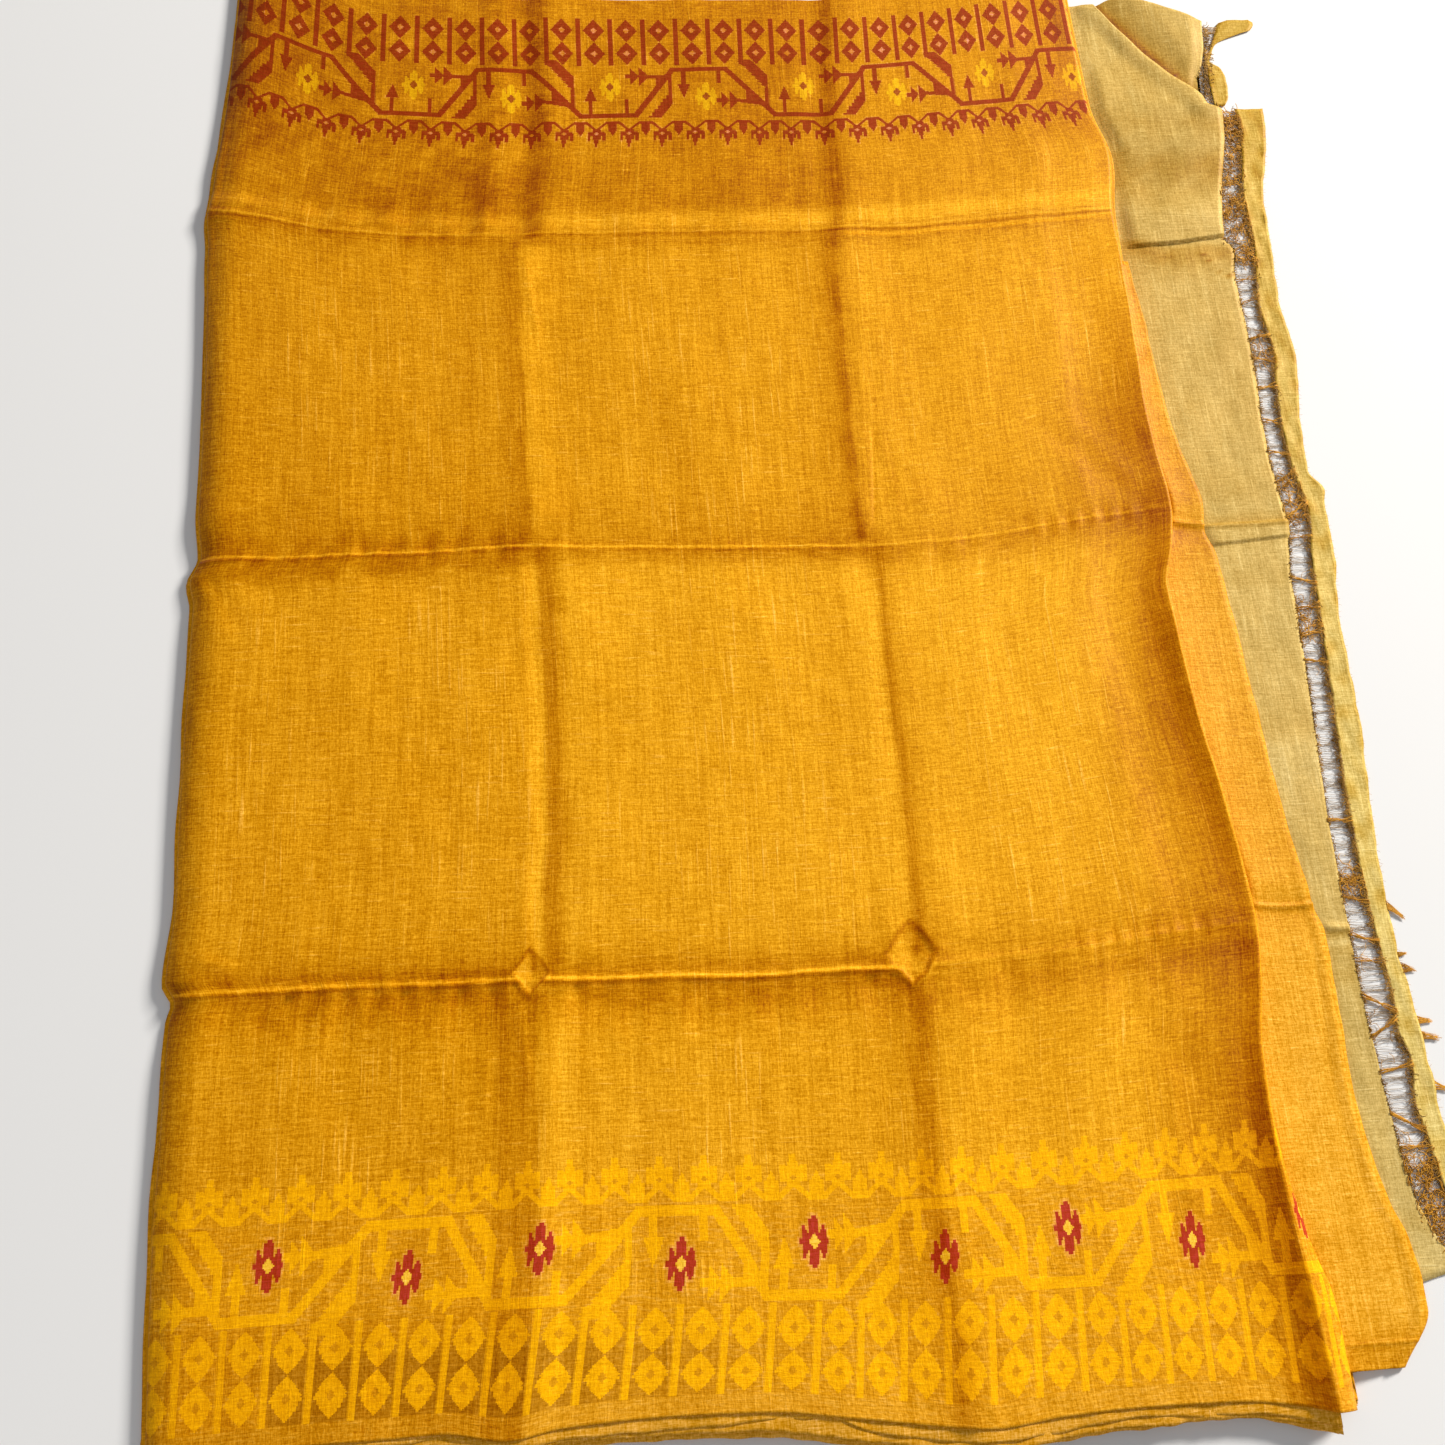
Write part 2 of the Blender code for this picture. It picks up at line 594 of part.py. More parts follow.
def make_pale_corner():
    """The corner that lies behind the slanting pleat."""
    sections = []
    for share, bulge in zip((0.0, 0.33, 0.67, 1.0), CORNER_BULGE):
        section = []
        for number, row in enumerate(PALE_CORNER):
            x = row.x_low + (row.x_high - row.x_low) * share
            x += bulge * number / (len(PALE_CORNER) - 1)
            y = row.y_low + (row.y_high - row.y_low) * share
            section.append((x, y, THIN_CLOTH))
        sections.append(section)
    return floor_wall("pale_corner", np.array(sections), THIN_CLOTH, "pale_silk")


def make_edge_strip(name, rows):
    """A narrow woven strip that lies on the floor, by its inner and outer edges."""
    sections = []
    for row in rows:
        middle = 0.5 * (row.x_inner + row.x_outer)
        heights = (THIN_CLOTH, THIN_CLOTH + 0.0003, THIN_CLOTH)
        section = [(x, row.y, z) for x, z in zip((row.x_inner, middle, row.x_outer), heights)]
        sections.append(section)
    return floor_wall(name, np.array(sections), THIN_CLOTH + 0.0003, "pale_silk")


def comb(name, rail, bends, strands, finish):
    """Strands rooted in a narrow rail. rail gives the rail's inner edge at a place y, and bends
    are the places where it turns. Each strand has its root's place and width, its tip's point,
    its width there and its sway."""
    cuts = sorted({y for root, width, *_ in strands for y in (root - width / 2, root + width / 2)})
    roots = [(root - width / 2 - 0.0002, root + width / 2 + 0.0002) for root, width, *_ in strands]
    inside = [y for y in bends if cuts[0] < y < cuts[-1]]
    cuts += [y for y in inside if not any(low < y < high for low, high in roots)]
    cuts = sorted([cuts[0] - 0.001, *cuts, max(cuts) + 0.001])
    points, faces = [], []
    low, high = 0.0, RAIL_HEIGHT
    for y in cuts:
        x = rail(y)
        points += [(x, y, low), (x + RAIL_WIDTH, y, low), (x + RAIL_WIDTH, y, high), (x, y, high)]
    roots = {round(root - width / 2, 7): strand for strand in strands for root, width in [strand[:2]]}
    for i, y in enumerate(cuts[:-1]):
        a, b = 4 * i, 4 * i + 4
        faces += [(a, a + 1, b + 1, b), (a + 2, a + 3, b + 3, b + 2), (a + 3, a, b, b + 3)]
        strand = roots.get(round(y, 7))
        if strand is None:
            faces.append((a + 1, a + 2, b + 2, b + 1))
            continue
        ring = [a + 1, a + 2, b + 2, b + 1]
        root, width, tip, tip_width, sway = strand
        start = np.array((rail(root) + RAIL_WIDTH, root, 0.0))
        across = np.array(tip) - start
        for share in (0.5, 1.0):
            centre = start + across * share
            centre[1] += sway * math.sin(math.pi * share)
            half = 0.5 * (width + (tip_width - width) * share)
            corners = ((-half, THREAD_CLEAR), (-half, THREAD_CLEAR + BUNDLE_HEIGHT))
            corners += ((half, THREAD_CLEAR + BUNDLE_HEIGHT), (half, THREAD_CLEAR))
            new = list(range(len(points), len(points) + 4))
            points += [(centre[0], centre[1] + dy, z) for dy, z in corners]
            faces += [(ring[k], ring[(k + 1) % 4], new[(k + 1) % 4], new[k]) for k in range(4)]
            ring = new
        faces.append(tuple(ring))
    last = 4 * (len(cuts) - 1)
    faces += [(0, 3, 2, 1), (last, last + 1, last + 2, last + 3)]
    outward = [face[::-1] for face in faces]
    return solid(name, points, outward, finish)


def bundle_row(count, low, high, edge, far_edge, seed):
    """Thread bundles across an unwoven band, uneven in width, spacing and slant."""
    draw = np.random.default_rng(seed)
    pitch = (high - low) / count
    strands = []
    for i in range(count):
        root = low + (i + 0.5 + draw.uniform(-0.22, 0.22)) * pitch
        width = draw.uniform(*BUNDLE_WIDTH)
        slant = draw.uniform(-0.30, 0.30) * pitch
        tip_y = root + slant
        tip_x = far_edge(tip_y - width / 2, tip_y + width / 2) - SEAT
        tip = (max(tip_x, edge(root) + 2 * RAIL_WIDTH), tip_y, 0.0)
        strands.append((root, width, tip, 0.8 * width, draw.uniform(-0.12, 0.12) * pitch))
    return strands


def outside_of(ys, xs):
    """A function that gives a line just outside an edge, clear of its corners near by."""

    def line(y):
        near = [x for place, x in zip(ys, xs) if abs(place - y) < 0.0026]
        sides = [float(np.interp(y + step, ys, xs)) for step in (-0.0026, 0.0, 0.0026)]
        return max(near + sides) + SEAT

    return line


def nearest_edge(rows):
    """A function that gives how far out a strip's inner edge starts between two places."""
    ys = [row.y for row in rows]
    xs = [row.x_inner for row in rows]

    def edge(low, high):
        inside = [x for y, x in zip(ys, xs) if low <= y <= high]
        return min([float(np.interp(low, ys, xs)), float(np.interp(high, ys, xs)), *inside])

    return edge


def make_gap_threads(rows):
    """The unwoven warp between the pale stretch and the end strip."""
    ys, xs = zip(*[(y, right) for y, left, right in rows if y < 1.0])
    rail = outside_of(ys, xs)
    strands = bundle_row(GAP_BUNDLES, 0.075, 0.990, rail, nearest_edge(END_STRIP), 11)
    return comb("gap_threads", rail, ys, strands, "warp_threads")


def make_corner_threads():
    """The unwoven warp beside the corner."""
    last = PALE_CORNER[-1]
    shares = (0.0, 0.33, 0.67, 1.0)
    ys = [last.y_low + (last.y_high - last.y_low) * share for share in shares]
    xs = [last.x_low + (last.x_high - last.x_low) * share for share in shares]
    xs = [x + bulge for x, bulge in zip(xs, CORNER_BULGE)]
    rail = outside_of(ys, xs)
    strands = bundle_row(CORNER_BUNDLES, 1.012, 1.094, rail, nearest_edge(CORNER_STRIP), 5)
    return comb("corner_threads", rail, ys, strands, "warp_threads")


def make_end_fringe():
    """Short tufts of warp outside the end strip."""
    ys, xs = [row.y for row in END_STRIP], [row.x_outer for row in END_STRIP]
    rail = outside_of(ys, xs)
    strands = []
    for tuft in FRINGE:
        tip_y = tuft.y + tuft.length * tuft.lean
        tip = (rail(tuft.y) + RAIL_WIDTH + tuft.length, tip_y, 0.0)
        strands.append((tuft.y, tuft.width, tip, 0.3 * tuft.width, 0.0))
    return comb("end_fringe", rail, ys, strands, "warp_threads")


def stand_on_origin(objects):
    """Moves the pieces so that the origin is on the floor under the middle of their box."""
    corners = np.array([vertex.co for made in objects for vertex in made.data.vertices])
    low, high = corners.min(axis=0), corners.max(axis=0)
    shift = -0.5 * (low + high)
    shift[2] = -low[2]
    for made in objects:
        for vertex in made.data.vertices:
            vertex.co = np.array(vertex.co) + shift
    print("plan shift", [round(float(value), 6) for value in shift])


def build():
    """Clears the scene and makes the sari."""
    for old in list(bpy.data.objects):
        bpy.data.objects.remove(old)
    lines_u, lines_v = grid_lines()
    terrace = np.array([terrace_row(v) for v in lines_v])
    rows = pale_rows(terrace)
    top, top_stretch = make_top_stretch(lines_u, lines_v)
    pieces = [
        top_stretch,
        make_hidden_layers(top, terrace),
        make_gold_strip(lines_v, terrace),
        make_pale_stretch(rows),
        make_pale_corner(),
        make_edge_strip("end_strip", END_STRIP),
        make_edge_strip("corner_strip", CORNER_STRIP),
        make_gap_threads(rows),
        make_corner_threads(),
        make_end_fringe(),
    ]
    stand_on_origin(pieces)


build()
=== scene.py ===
import math
from collections import namedtuple
from functools import reduce

import bpy
import numpy as np
from mathutils import Matrix, Vector

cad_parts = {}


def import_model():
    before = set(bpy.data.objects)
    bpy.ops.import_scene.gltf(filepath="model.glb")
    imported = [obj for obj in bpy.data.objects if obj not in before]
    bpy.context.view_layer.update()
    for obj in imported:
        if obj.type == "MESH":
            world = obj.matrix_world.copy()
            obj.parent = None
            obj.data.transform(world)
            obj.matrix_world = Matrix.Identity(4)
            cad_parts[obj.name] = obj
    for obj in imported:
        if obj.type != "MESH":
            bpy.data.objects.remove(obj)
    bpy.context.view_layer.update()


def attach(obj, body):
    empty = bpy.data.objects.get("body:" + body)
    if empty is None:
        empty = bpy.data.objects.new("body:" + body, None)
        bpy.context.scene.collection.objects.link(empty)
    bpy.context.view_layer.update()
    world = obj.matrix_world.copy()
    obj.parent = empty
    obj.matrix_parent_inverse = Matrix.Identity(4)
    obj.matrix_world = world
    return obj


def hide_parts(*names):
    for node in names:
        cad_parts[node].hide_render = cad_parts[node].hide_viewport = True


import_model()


def table(names, *rows):
    """Rows of values with named columns."""
    row_type = namedtuple("Row", names)
    return tuple(row_type(*row) for row in rows)


def table_in_mm(names, *rows):
    """The same for lengths, which are written in mm and kept in metres."""
    return table(names, *(tuple(value / 1000 for value in row) for row in rows))


# The cloth. A place on it is u along the panel and v across from the lower hem, in metres.
SHIFT = (-0.430763, -0.579302)  # from the top stretch's lower left corner to the origin
CLOTH_WIDTH = 1.142
PANEL_LENGTH = 0.722
STACK_TOP = 0.012
CROSS_FOLDS = (0.280, 0.599, 0.885)
LENGTH_FOLDS = (0.241, 0.490)
SHOULDER = 0.120
SWAP_REACH = 0.016
PANEL_CROWN = 0.0012
LEFT_ROUND = 0.024
LEFT_DROP = 0.0055
LIP_REACH = 0.062
LIP_DIP = 0.0018
GENTLE_REACH = ((0.0, 0.1, 0.22, 0.28, 0.4, 0.56), (0.03, 0.035, 0.075, 0.06, 0.04, 0.06))
STEEP_REACH = ((0.0, 0.2, 0.4, 0.6, 0.8), (0.017, 0.013, 0.015, 0.022, 0.030))
LIP_FACE_STOPS = (0.06, 0.13, 0.22, 0.32, 0.44, 0.56, 0.68, 0.80, 0.91, 1.0)
LEFT_UNDER = ((-0.0005, 0.0008), (-0.0006, 0.0017), (-0.0002, 0.0025), (0.0012, 0.0030))
SEAT = 0.0003
KEY_PLACE = (4.2, 2.7, 2.35)
UV_LAYERS = ("cloth", "shade", "chart")

PLAN = table_in_mm(
    "v x_left x_fold1 x_fold2 y_left y_shoulder y_fold1 y_fold2 y_lip",
    (0, 0, 224, 489.5, 0, 4, 3, -7, -14), (140, -5, 233, 482, 139, 139, 139, 132, 137),
    (280, -5, 236, 485.5, 278, 277, 275, 271, 289), (440, -8, 241, 486.5, 434, 433, 432, 427, 449),
    (599, -9, 236, 485.5, 590, 590, 590, 584, 609), (742, -12, 233, 486, 745, 732, 729, 727, 747),
    (885, -18, 228, 488.5, 900, 874, 867, 869, 885), (1000, -10, 237, 493, 1035, 991, 985, 985, 1005),
    (1142, -6, 236, 498.5, 1190, 1129, 1121, 1119, 1147),
)
LIP = table_in_mm(
    "v x crest face_width face_end",
    (0, 715.5, 19, 15, 7.4), (55, 712, 20, 17.5, 7.4), (85, 710, 19.2, 11.5, 7.4),
    (150, 707.2, 17.6, 4.5, 7.3), (195, 709, 16.5, 3.6, 7.2), (240, 718, 15.2, 3.2, 7.1),
    (280, 723, 14.5, 3, 7.1), (360, 716.5, 17.8, 2.4, 6.9), (450, 706.5, 18.8, 2.4, 6.7),
    (530, 703.5, 17.8, 2.4, 6.5), (566, 713, 16.2, 2.6, 6.4), (599, 718.5, 14.6, 3, 6.3),
    (690, 712.8, 16.8, 2.6, 5.9), (790, 716, 15, 2.8, 5.4), (885, 717.2, 11.8, 3.2, 4.8),
    (945, 724, 10.4, 3.4, 4.6), (1000, 713, 9.8, 3.4, 4.4), (1142, 710.5, 8.4, 3.4, 4.2),
)
# small jogs of the left-hand fold where the cross folds meet it
LEFT_JOGS = table_in_mm(
    "v step",
    (0, 0), (258, 0), (272, 3), (286, -3.6), (340, 0), (565, 0), (584, -3.6), (603, 3.4), (640, 0),
    (860, 0), (884, -2), (905, 0), (1142, 0),
)
# how far the hem of the top stretch waves out and in
HEM_LINE = table_in_mm(
    "u shift",
    (0, 0), (136, 0), (185, 1), (228, -4.5), (262, 1), (340, 5.5), (375, 6), (430, 1), (505, -6),
    (545, -1.5), (590, 2), (660, 3.5), (700, 0), (722, -4),
)

# Relief of the storage folds, in tenths of a mm, at distances in mm from the fold line. The cloth
# was folded to and fro, so each length fold stands up in one stretch between the cross folds and
# sinks in the next. The shade of a fold is painted shade: how much deeper its colour is, in
# hundredths; a negative value is painted light.
# The rows of LENGTH_SHADES and CROSS_SHADES aren't chosen by hand: scratch programs worked them
# out from the photo's mean brightness across each fold, which report.md names as a rule broken.
FOLD_OFFSETS = np.array((-60, -42, -30, -22, -16, -12, -8, -5, -2, 0, 2, 5, 8, 12, 16, 22, 30, 42, 60)) / 1000
LENGTH_RISES = (  # of each length fold, in the hem, lower, upper and top stretch
    ((0, 0, 1, 9, 14, 18, 22, 24, 27, 28, 28, 26, 24, 20, 17, 13, 11, 6, 0),
     (0, 2, 3, 4, 4, 4, 1, -2, -4, -4, -3, 2, 6, 12, 13, 12, 10, 5, 0),
     (0, 3, 6, 10, 14, 18, 22, 24, 26, 26, 25, 23, 20, 17, 13, 8, 4, 2, 0),
     (1, 1, 12, 9, 6, 2, -1, -3, -4, -4, -2, 2, 8, 14, 18, 18, 14, 6, 0)),
    ((0, 1, 2, 4, 6, 8, 12, 16, 20, 24, 26, 28, 27, 24, 22, 17, 12, 7, 0),
     (0, 2, 2, 3, 4, 3, 2, 0, 0, 0, 2, 8, 12, 14, 14, 12, 9, 4, 0),
     (0, 2, 6, 9, 14, 18, 23, 26, 26, 26, 25, 24, 22, 20, 17, 14, 10, 5, 0),
     (0, -1, -3, -5, -8, -8, -6, -2, 4, 6, 9, 12, 12, 12, 11, 9, 6, 4, 0)),
)
CROSS_RISES = (  # of each cross fold, in the left, middle and right panel
    ((0, -5, -13, -18, -19, -15, -6, 10, -3, -7, -6, -2, 0, 2, 3, 3, 2, 1, 0),
     (0, -5, -14, -20, -21, -16, -6, 12, -3, -7, -6, -2, 0, 2, 3, 3, 2, 1, 0),
     (0, -3, -10, -15, -14, -12, -7, -2, 4, 2, -1, -2, -1, 1, 2, 2, 2, 1, 0)),
    ((0, -3, -7, -10, -9, -6, -3, 0, 7, 1, -3, -4, -2, 1, 4, 8, 10, 6, 0),
     (0, -2, -6, -8, -9, -8, -6, -2, 4, 1, -2, -4, -2, 0, 2, 5, 6, 6, 0),
     (0, -2, -6, -8, -8, -7, -5, -2, 1, 2, 0, -1, 0, 2, 3, 5, 6, 4, 0)),
    ((0, 0, -1, -2, -2, -1, 1, 3, 8, 10, 12, 14, 10, 12, 9, -2, -1, 3, 0),
     (0, 0, -1, -2, -1, 0, 2, 6, 6, 8, 12, 17, 16, 12, 7, 1, 1, 2, 0),
     (0, 0, 0, -1, 0, 2, 5, 10, 4, 2, 6, 15, 18, 16, 14, 10, 7, 3, 0)),
)
LENGTH_SHADES = (
    ((0, 7, 6, 14, 14, 13, 20, 19, 10, 2, -4, -5, -8, -13, -14, -4, 2, -8, -5),
     (5, 2, 4, 5, 7, 3, -1, -8, -13, -10, 3, 18, 20, 15, 5, -5, -4, -4, -5),
     (8, 8, 4, 3, 8, 12, 19, 21, 16, 1, -8, -8, -9, -10, -11, -4, 2, -2, -4),
     (2, 5, 15, 4, -11, -11, -7, -4, 3, 7, 14, 23, 25, 22, 12, -9, -14, -15, -10)),
    ((0, 2, 7, 8, 9, 7, 20, 30, 33, 33, 36, 34, 17, 5, -3, -2, 1, -3, -5),
     (0, 5, 4, 3, 1, 1, -2, -1, 3, 3, 8, 26, 21, 9, 5, 1, -3, -6, -5),
     (1, 5, 5, 7, 13, 23, 39, 45, 18, 13, 9, 7, 3, 0, 2, 0, 0, -3, -4),
     (4, 2, 1, -5, -10, -3, 4, 21, 30, 27, 15, 4, -1, -4, -4, -8, -10, -12, -11)),
)
CROSS_SHADES = (
    ((4, 10, 22, 32, 36, 36, 21, 27, 33, 39, 39, 29, 20, 15, 11, 8, 4, 2, 0),
     (2, 8, 23, 35, 40, 36, 19, 24, 26, 34, 32, 28, 24, 14, 10, 6, 2, -1, 0),
     (2, 9, 21, 32, 35, 26, 17, 14, 20, 26, 25, 21, 20, 18, 15, 12, 7, 3, -1)),
    ((-4, -2, 0, 6, 20, 28, 28, 25, 31, 35, 34, 30, 26, 23, 17, 10, 7, 3, 0),
     (-7, -7, -6, -5, -1, 12, 22, 21, 23, 26, 29, 27, 19, 14, 13, 11, 10, 5, 1),
     (-8, -8, -6, 0, 12, 18, 20, 22, 22, 22, 21, 17, 13, 12, 10, 5, 5, 3, -1)),
    ((1, 2, 4, 5, 6, 9, 11, 14, 23, 27, 28, 28, 23, 20, 14, 20, 29, 33, 35),
     (0, 0, 1, 0, 3, 6, 14, 24, 25, 24, 25, 25, 20, 9, 7, 12, 25, 28, 30),
     (0, 0, 0, 1, 5, 9, 18, 27, 12, 9, 28, 28, 21, 10, 7, 5, 8, 12, 16)),
)
# the painted shade beside the right-hand fold, where the cloth rises to its crest, at distances in mm from
# its crest
LIP_OFFSETS = (-90, -75, -50, -35, -24, -17, -10, -6, -2, 0)
LIP_SHADES = table(
    "v shade",
    (0.03, (0, 10, 9, 6, 30, 44, 60, 72, 46, 8)), (0.09, (0, 12, 14, 27, 52, 63, 63, 76, 51, 11)),
    (0.155, (4, 16, 31, 39, 59, 69, 76, 76, 64, 26)), (0.225, (6, 22, 36, 36, 48, 55, 51, 53, 51, 48)),
    (0.34, (4, 15, 32, 30, 39, 52, 55, 56, 30, 8)), (0.43, (2, 11, 31, 39, 55, 61, 55, 60, 34, 8)),
    (0.53, (0, 7, 17, 13, 33, 45, 56, 65, 45, 18)), (0.66, (0, 9, 24, 32, 47, 43, 52, 63, 53, 25)),
    (0.745, (0, 0, 8, 1, 5, 7, 21, 23, 6, 14)), (0.83, (0, 0, 2, 0, -8, -6, -5, -5, 2, 15)),
    (0.94, (-4, -4, 1, 0, -1, -4, 6, 5, 4, 15)), (1, (0, 4, 7, 15, 13, 21, 24, 27, 19, 23)),
    (1.09, (0, 6, 5, 7, 5, 30, 57, 47, 12, 23)),
)
# places along the cloth and the painted shade there: at the left edge, above the top fold and in the top
# border
EDGE_SHADE = ((0.0, 0.004, 0.008, 0.014, 0.024), (0.14, 0.24, 0.20, 0.08, 0.0))
BAND_SHADE = ((0.02, 0.13, 0.26, 0.38, 0.50, 0.61, 0.70), (0.02, 0.06, 0.21, 0.18, 0.33, 0.24, 0.14))
TOP_SHADE = ((0, 0.08, 0.13, 0.26, 0.38, 0.50, 0.60), (0.22, 0.07, -0.03, 0.08, 0.12, 0.25, 0.27))
# where the painted highlight along each cross fold's ridge lies from its fold, and how sharp it is along the
# cloth
RIDGE_PLACES = (-0.0028, 0.0006, 0.0046)
RIDGE_STOPS = (0.0, 0.20, 0.26, 0.45, 0.52, 0.70)
RIDGE_SHARES = ((0.8, 0.7, 1.0, 1.0, 0.4, 0.3), (1.0, 1.0, 1.0, 0.9, 0.6, 0.5),
                (0.9, 0.7, 0.5, 0.6, 1.0, 1.0))

PINCHES = table_in_mm(
    "u v half_u half_v",
    (234.5, 282.5, 12.2, 16), (488.7, 286.4, 19, 22.2),
)
PUCKERS = table_in_mm(
    "u_low u_high v reach wave height",
    (10, 232, 596.5, 7.5, 16, 0.6), (100, 236, 605, 10, 23, 0.7), (60, 232, 270, 11, 19, 0.95),
    (250, 350, 269, 11, 21, 0.75), (360, 486, 270, 11, 25, 0.6), (590, 705, 280, 10, 12.5, 1.1),
    (500, 600, 270, 10, 27, 0.5), (360, 480, 596, 6, 26, 0.4), (600, 715, 599, 8, 15, 0.8),
    (500, 600, 593, 10, 23, 0.4), (60, 236, 905, 14, 35, 0.6), (250, 420, 895, 10, 33, 0.4),
)
SMALL_CREASES = table_in_mm(
    "u0 v0 u1 v1 width height",
    (171, 128, 158, 96, 1.1, -0.5), (158, 96, 146, 46, 1.1, -0.8), (146, 46, 136, 0, 1.3, -1.2),
    (150, 46, 140, 0, 1.6, 0.6), (226, 262, 236, 200, 3, 0.6), (208, 268, 214, 190, 3, -0.6),
    (196, 262, 200, 175, 2, -0.3), (300, 268, 304, 215, 1.6, -0.45), (281, 266, 284, 225, 1.6, -0.45),
    (478, 262, 486, 190, 3, 0.45), (518, 274, 532, 232, 1.3, -0.4), (245.5, 860, 252, 790, 3, 0.5),
    (208, 930, 202, 890, 6, -1.1), (183, 925, 188, 888, 3, 0.5), (360, 930, 362, 885, 3, -0.45),
    (495, 620, 502, 700, 1.3, -0.45), (519, 625, 512, 690, 1.1, -0.4), (361, 610, 356, 820, 1.2, -0.25),
    (382, 605, 379, 700, 1.2, -0.3), (380, 607, 385, 590, 1.4, 0.9), (505, 930, 645, 905, 2, -0.4),
    (635, 860, 700, 800, 6, -0.4), (30, 905, 85, 935, 6, -0.6), (13, 585, 35, 540, 5, -0.9),
    (20, 300, 45, 290, 4.5, 1), (625, 700, 690, 620, 7, -0.5), (660, 690, 700, 625, 5, 0.5),
    (620, 255, 690, 165, 6, -0.5), (650, 262, 705, 185, 5, 0.5),
)

# the strip of the next fold, the pale end and what lies beyond it, by their place in the plan
GOLD_STRIP = table_in_mm(
    "y x_outer",
    (3, 769), (36, 791.2), (54, 791.7), (78, 788.5), (104, 780), (172, 772), (225, 774), (278, 775.5),
    (297, 771), (363, 763.8), (452, 758.8), (532, 754.3), (574, 751.2), (594, 746.5), (614, 748.8),
    (668, 739.8), (712, 734.5), (788, 731), (842, 726.8),
)
STRIP_STEP = 0.0005
STRIP_LIES_AT = 0.0034
STRIP_OVERHANG = 0.008
STRIP_FOLDS = (0.299, 0.598)
STRIP_SHARES = np.array((0, 4, 10, 18, 27, 36, 46, 56, 66, 75, 82, 88, 93, 97, 100)) / 100
BARE_LEDGE = 0.003
STRIP_CREASE = (0, 5, 10, 17, 18, 14, 9, 4, 0, 16, 3, -5, -6, -6, -4, -2, 0, 0, 0)
# the strip's painted shade, deeper along its folds; a negative value is painted light
STRIP_SHADE = (  # places across the cloth and how much deeper the colour is, in hundredths
    (0, .02, .03, .05, .08, .10, .27, .286, .292, .30, .306, .32, .34, .5, .56, .572, .58, .588, .596,
     .604, .612, .62, .636, .65, .668, .68, .842),
    (10, 18, -5, -10, 2, -8, -8, 0, 8, 14, -8, 2, 6, 0, 4, 12, 28, 38, 32, 5, 5, 34, 36, 26, 20, 12, 14),
)
# the pale end's painted shade: places across the cloth and how much deeper the colour is, in hundredths; a
# negative value is painted light
PALE_SHADE = (
    (.058, .08, .086, .10, .15, .20, .24, .25, .258, .268, .272, .278, .284, .34, .40, .415, .43, .54,
     .55, .576, .592, .597, .603, .612, .626, .640, .655, .77, .82, .836, .844, .850, .856, .862, .89,
     .905, .92, .94, .95, .96, .975, .986, 1.0, 1.04, 1.06, 1.12),
    (-18, -14, 0, -12, -8, -4, 0, 14, 4, 12, -10, 18, -3, 0, -12, -14, 3, 0,
     8, 2, 5, 28, 20, 4, 14, 12, 6, 8, 6, 16, 30, 38, 32, 5, 4,
     14, 26, 34, 28, 14, 14, 20, 10, 8, 4, 2),
)
PALE_STRETCH = table_in_mm(
    "y x_outer",
    (58, 819), (83, 806), (107, 799), (160, 795), (231, 793), (286, 793.7), (358, 795.4), (446, 802),
    (550, 807.3), (600, 813.6), (660, 810.8), (769, 815.9), (823, 815.2), (853, 820.5), (866, 813),
    (920, 821.5), (975, 832.5), (998, 834.5), (1004, 822.5), (1014, 819.5), (1043, 791.5), (1079, 765.5),
    (1120, 739.5),
)
# the folds of the pale end: places along x, and where their edges lie there
FLAP_EDGE = ((0.728, 0.775, 0.821), (0.857, 0.861, 0.868))
FLAP_RIDGE = ((0.721, 0.769, 0.826), (0.884, 0.879, 0.872))
FLAP_HUMP = ((0.0, 0.12, 0.42, 0.62, 0.95, 1.35, 1.9),
             (0.0036, 0.0033, 0.0006, 0.0008, 0.0032, 0.0034, 0.0004))
FLAT_LOW = ((0.750, 0.813), (0.579, 0.585))
FLAT_HIGH = ((0.748, 0.8115), (0.596, 0.598))
LOW_RIDGE = ((0.775, 0.795), (0.283, 0.281))
THIN_CREASE = ((0.791, 0.800, 0.807, 0.818), (0.852, 0.837, 0.830, 0.827))
PALE_CORNER = table_in_mm(
    "x_low x_high y_low y_high",
    (742, 742.5, 1113, 1120.5), (756, 758, 1086, 1127), (776, 781, 1059, 1124.5), (794, 803, 1035, 1116),
    (808, 819, 1019, 1109), (820, 835.6, 1007, 1100.6),
)
CORNER_STOPS = (0.0, 0.33, 0.67, 1.0)
CORNER_BULGE = (0.0, -0.0020, 0.0016, 0.0)
SLANT_FOOT = (0.8220, 1.0060)
SLANT_HEAD = (0.7395, 1.1200)
END_STRIP = table_in_mm(
    "y x_inner x_outer",
    (66, 834, 851), (90, 825.5, 840.5), (115, 819, 834.5), (145, 816, 830), (159, 812.7, 829.2),
    (190, 816.5, 829), (210, 811.8, 828), (235, 813.8, 827.5), (260, 812.3, 824.6), (310, 810.6, 825.2),
    (358, 811.6, 828.2), (445, 817, 835.8), (511, 822, 837.2), (550, 825, 842.5), (564, 826, 844.8),
    (608, 831.8, 846.2), (625, 829.6, 849), (642, 827.2, 839.6), (682, 826, 841.8), (726, 829, 848.6),
    (754, 833, 851.2), (793, 830, 848), (867, 837.6, 852.7), (904, 837.8, 854.9), (956, 845.5, 867),
    (989, 850, 872.2), (1002, 847, 872.8),
)
CORNER_STRIP = table_in_mm(
    "y x_inner x_outer",
    (1006, 830.5, 840), (1013, 830, 844.2), (1037, 830.8, 846.8), (1049, 831.8, 843.4),
    (1056, 832.2, 835.4), (1061, 834.8, 838.2), (1071.6, 839, 842.2), (1077.3, 841.2, 847.2),
    (1086.3, 844.8, 867), (1090.8, 846.7, 878.7), (1099, 850, 883), (1103, 860, 879),
)
# the end strips' painted shade, deeper towards the top: places along the cloth and amounts
BAND_SHADE_UP = ((0.0, 0.30, 0.60, 0.95), (-0.04, 0.02, 0.16, 0.36))
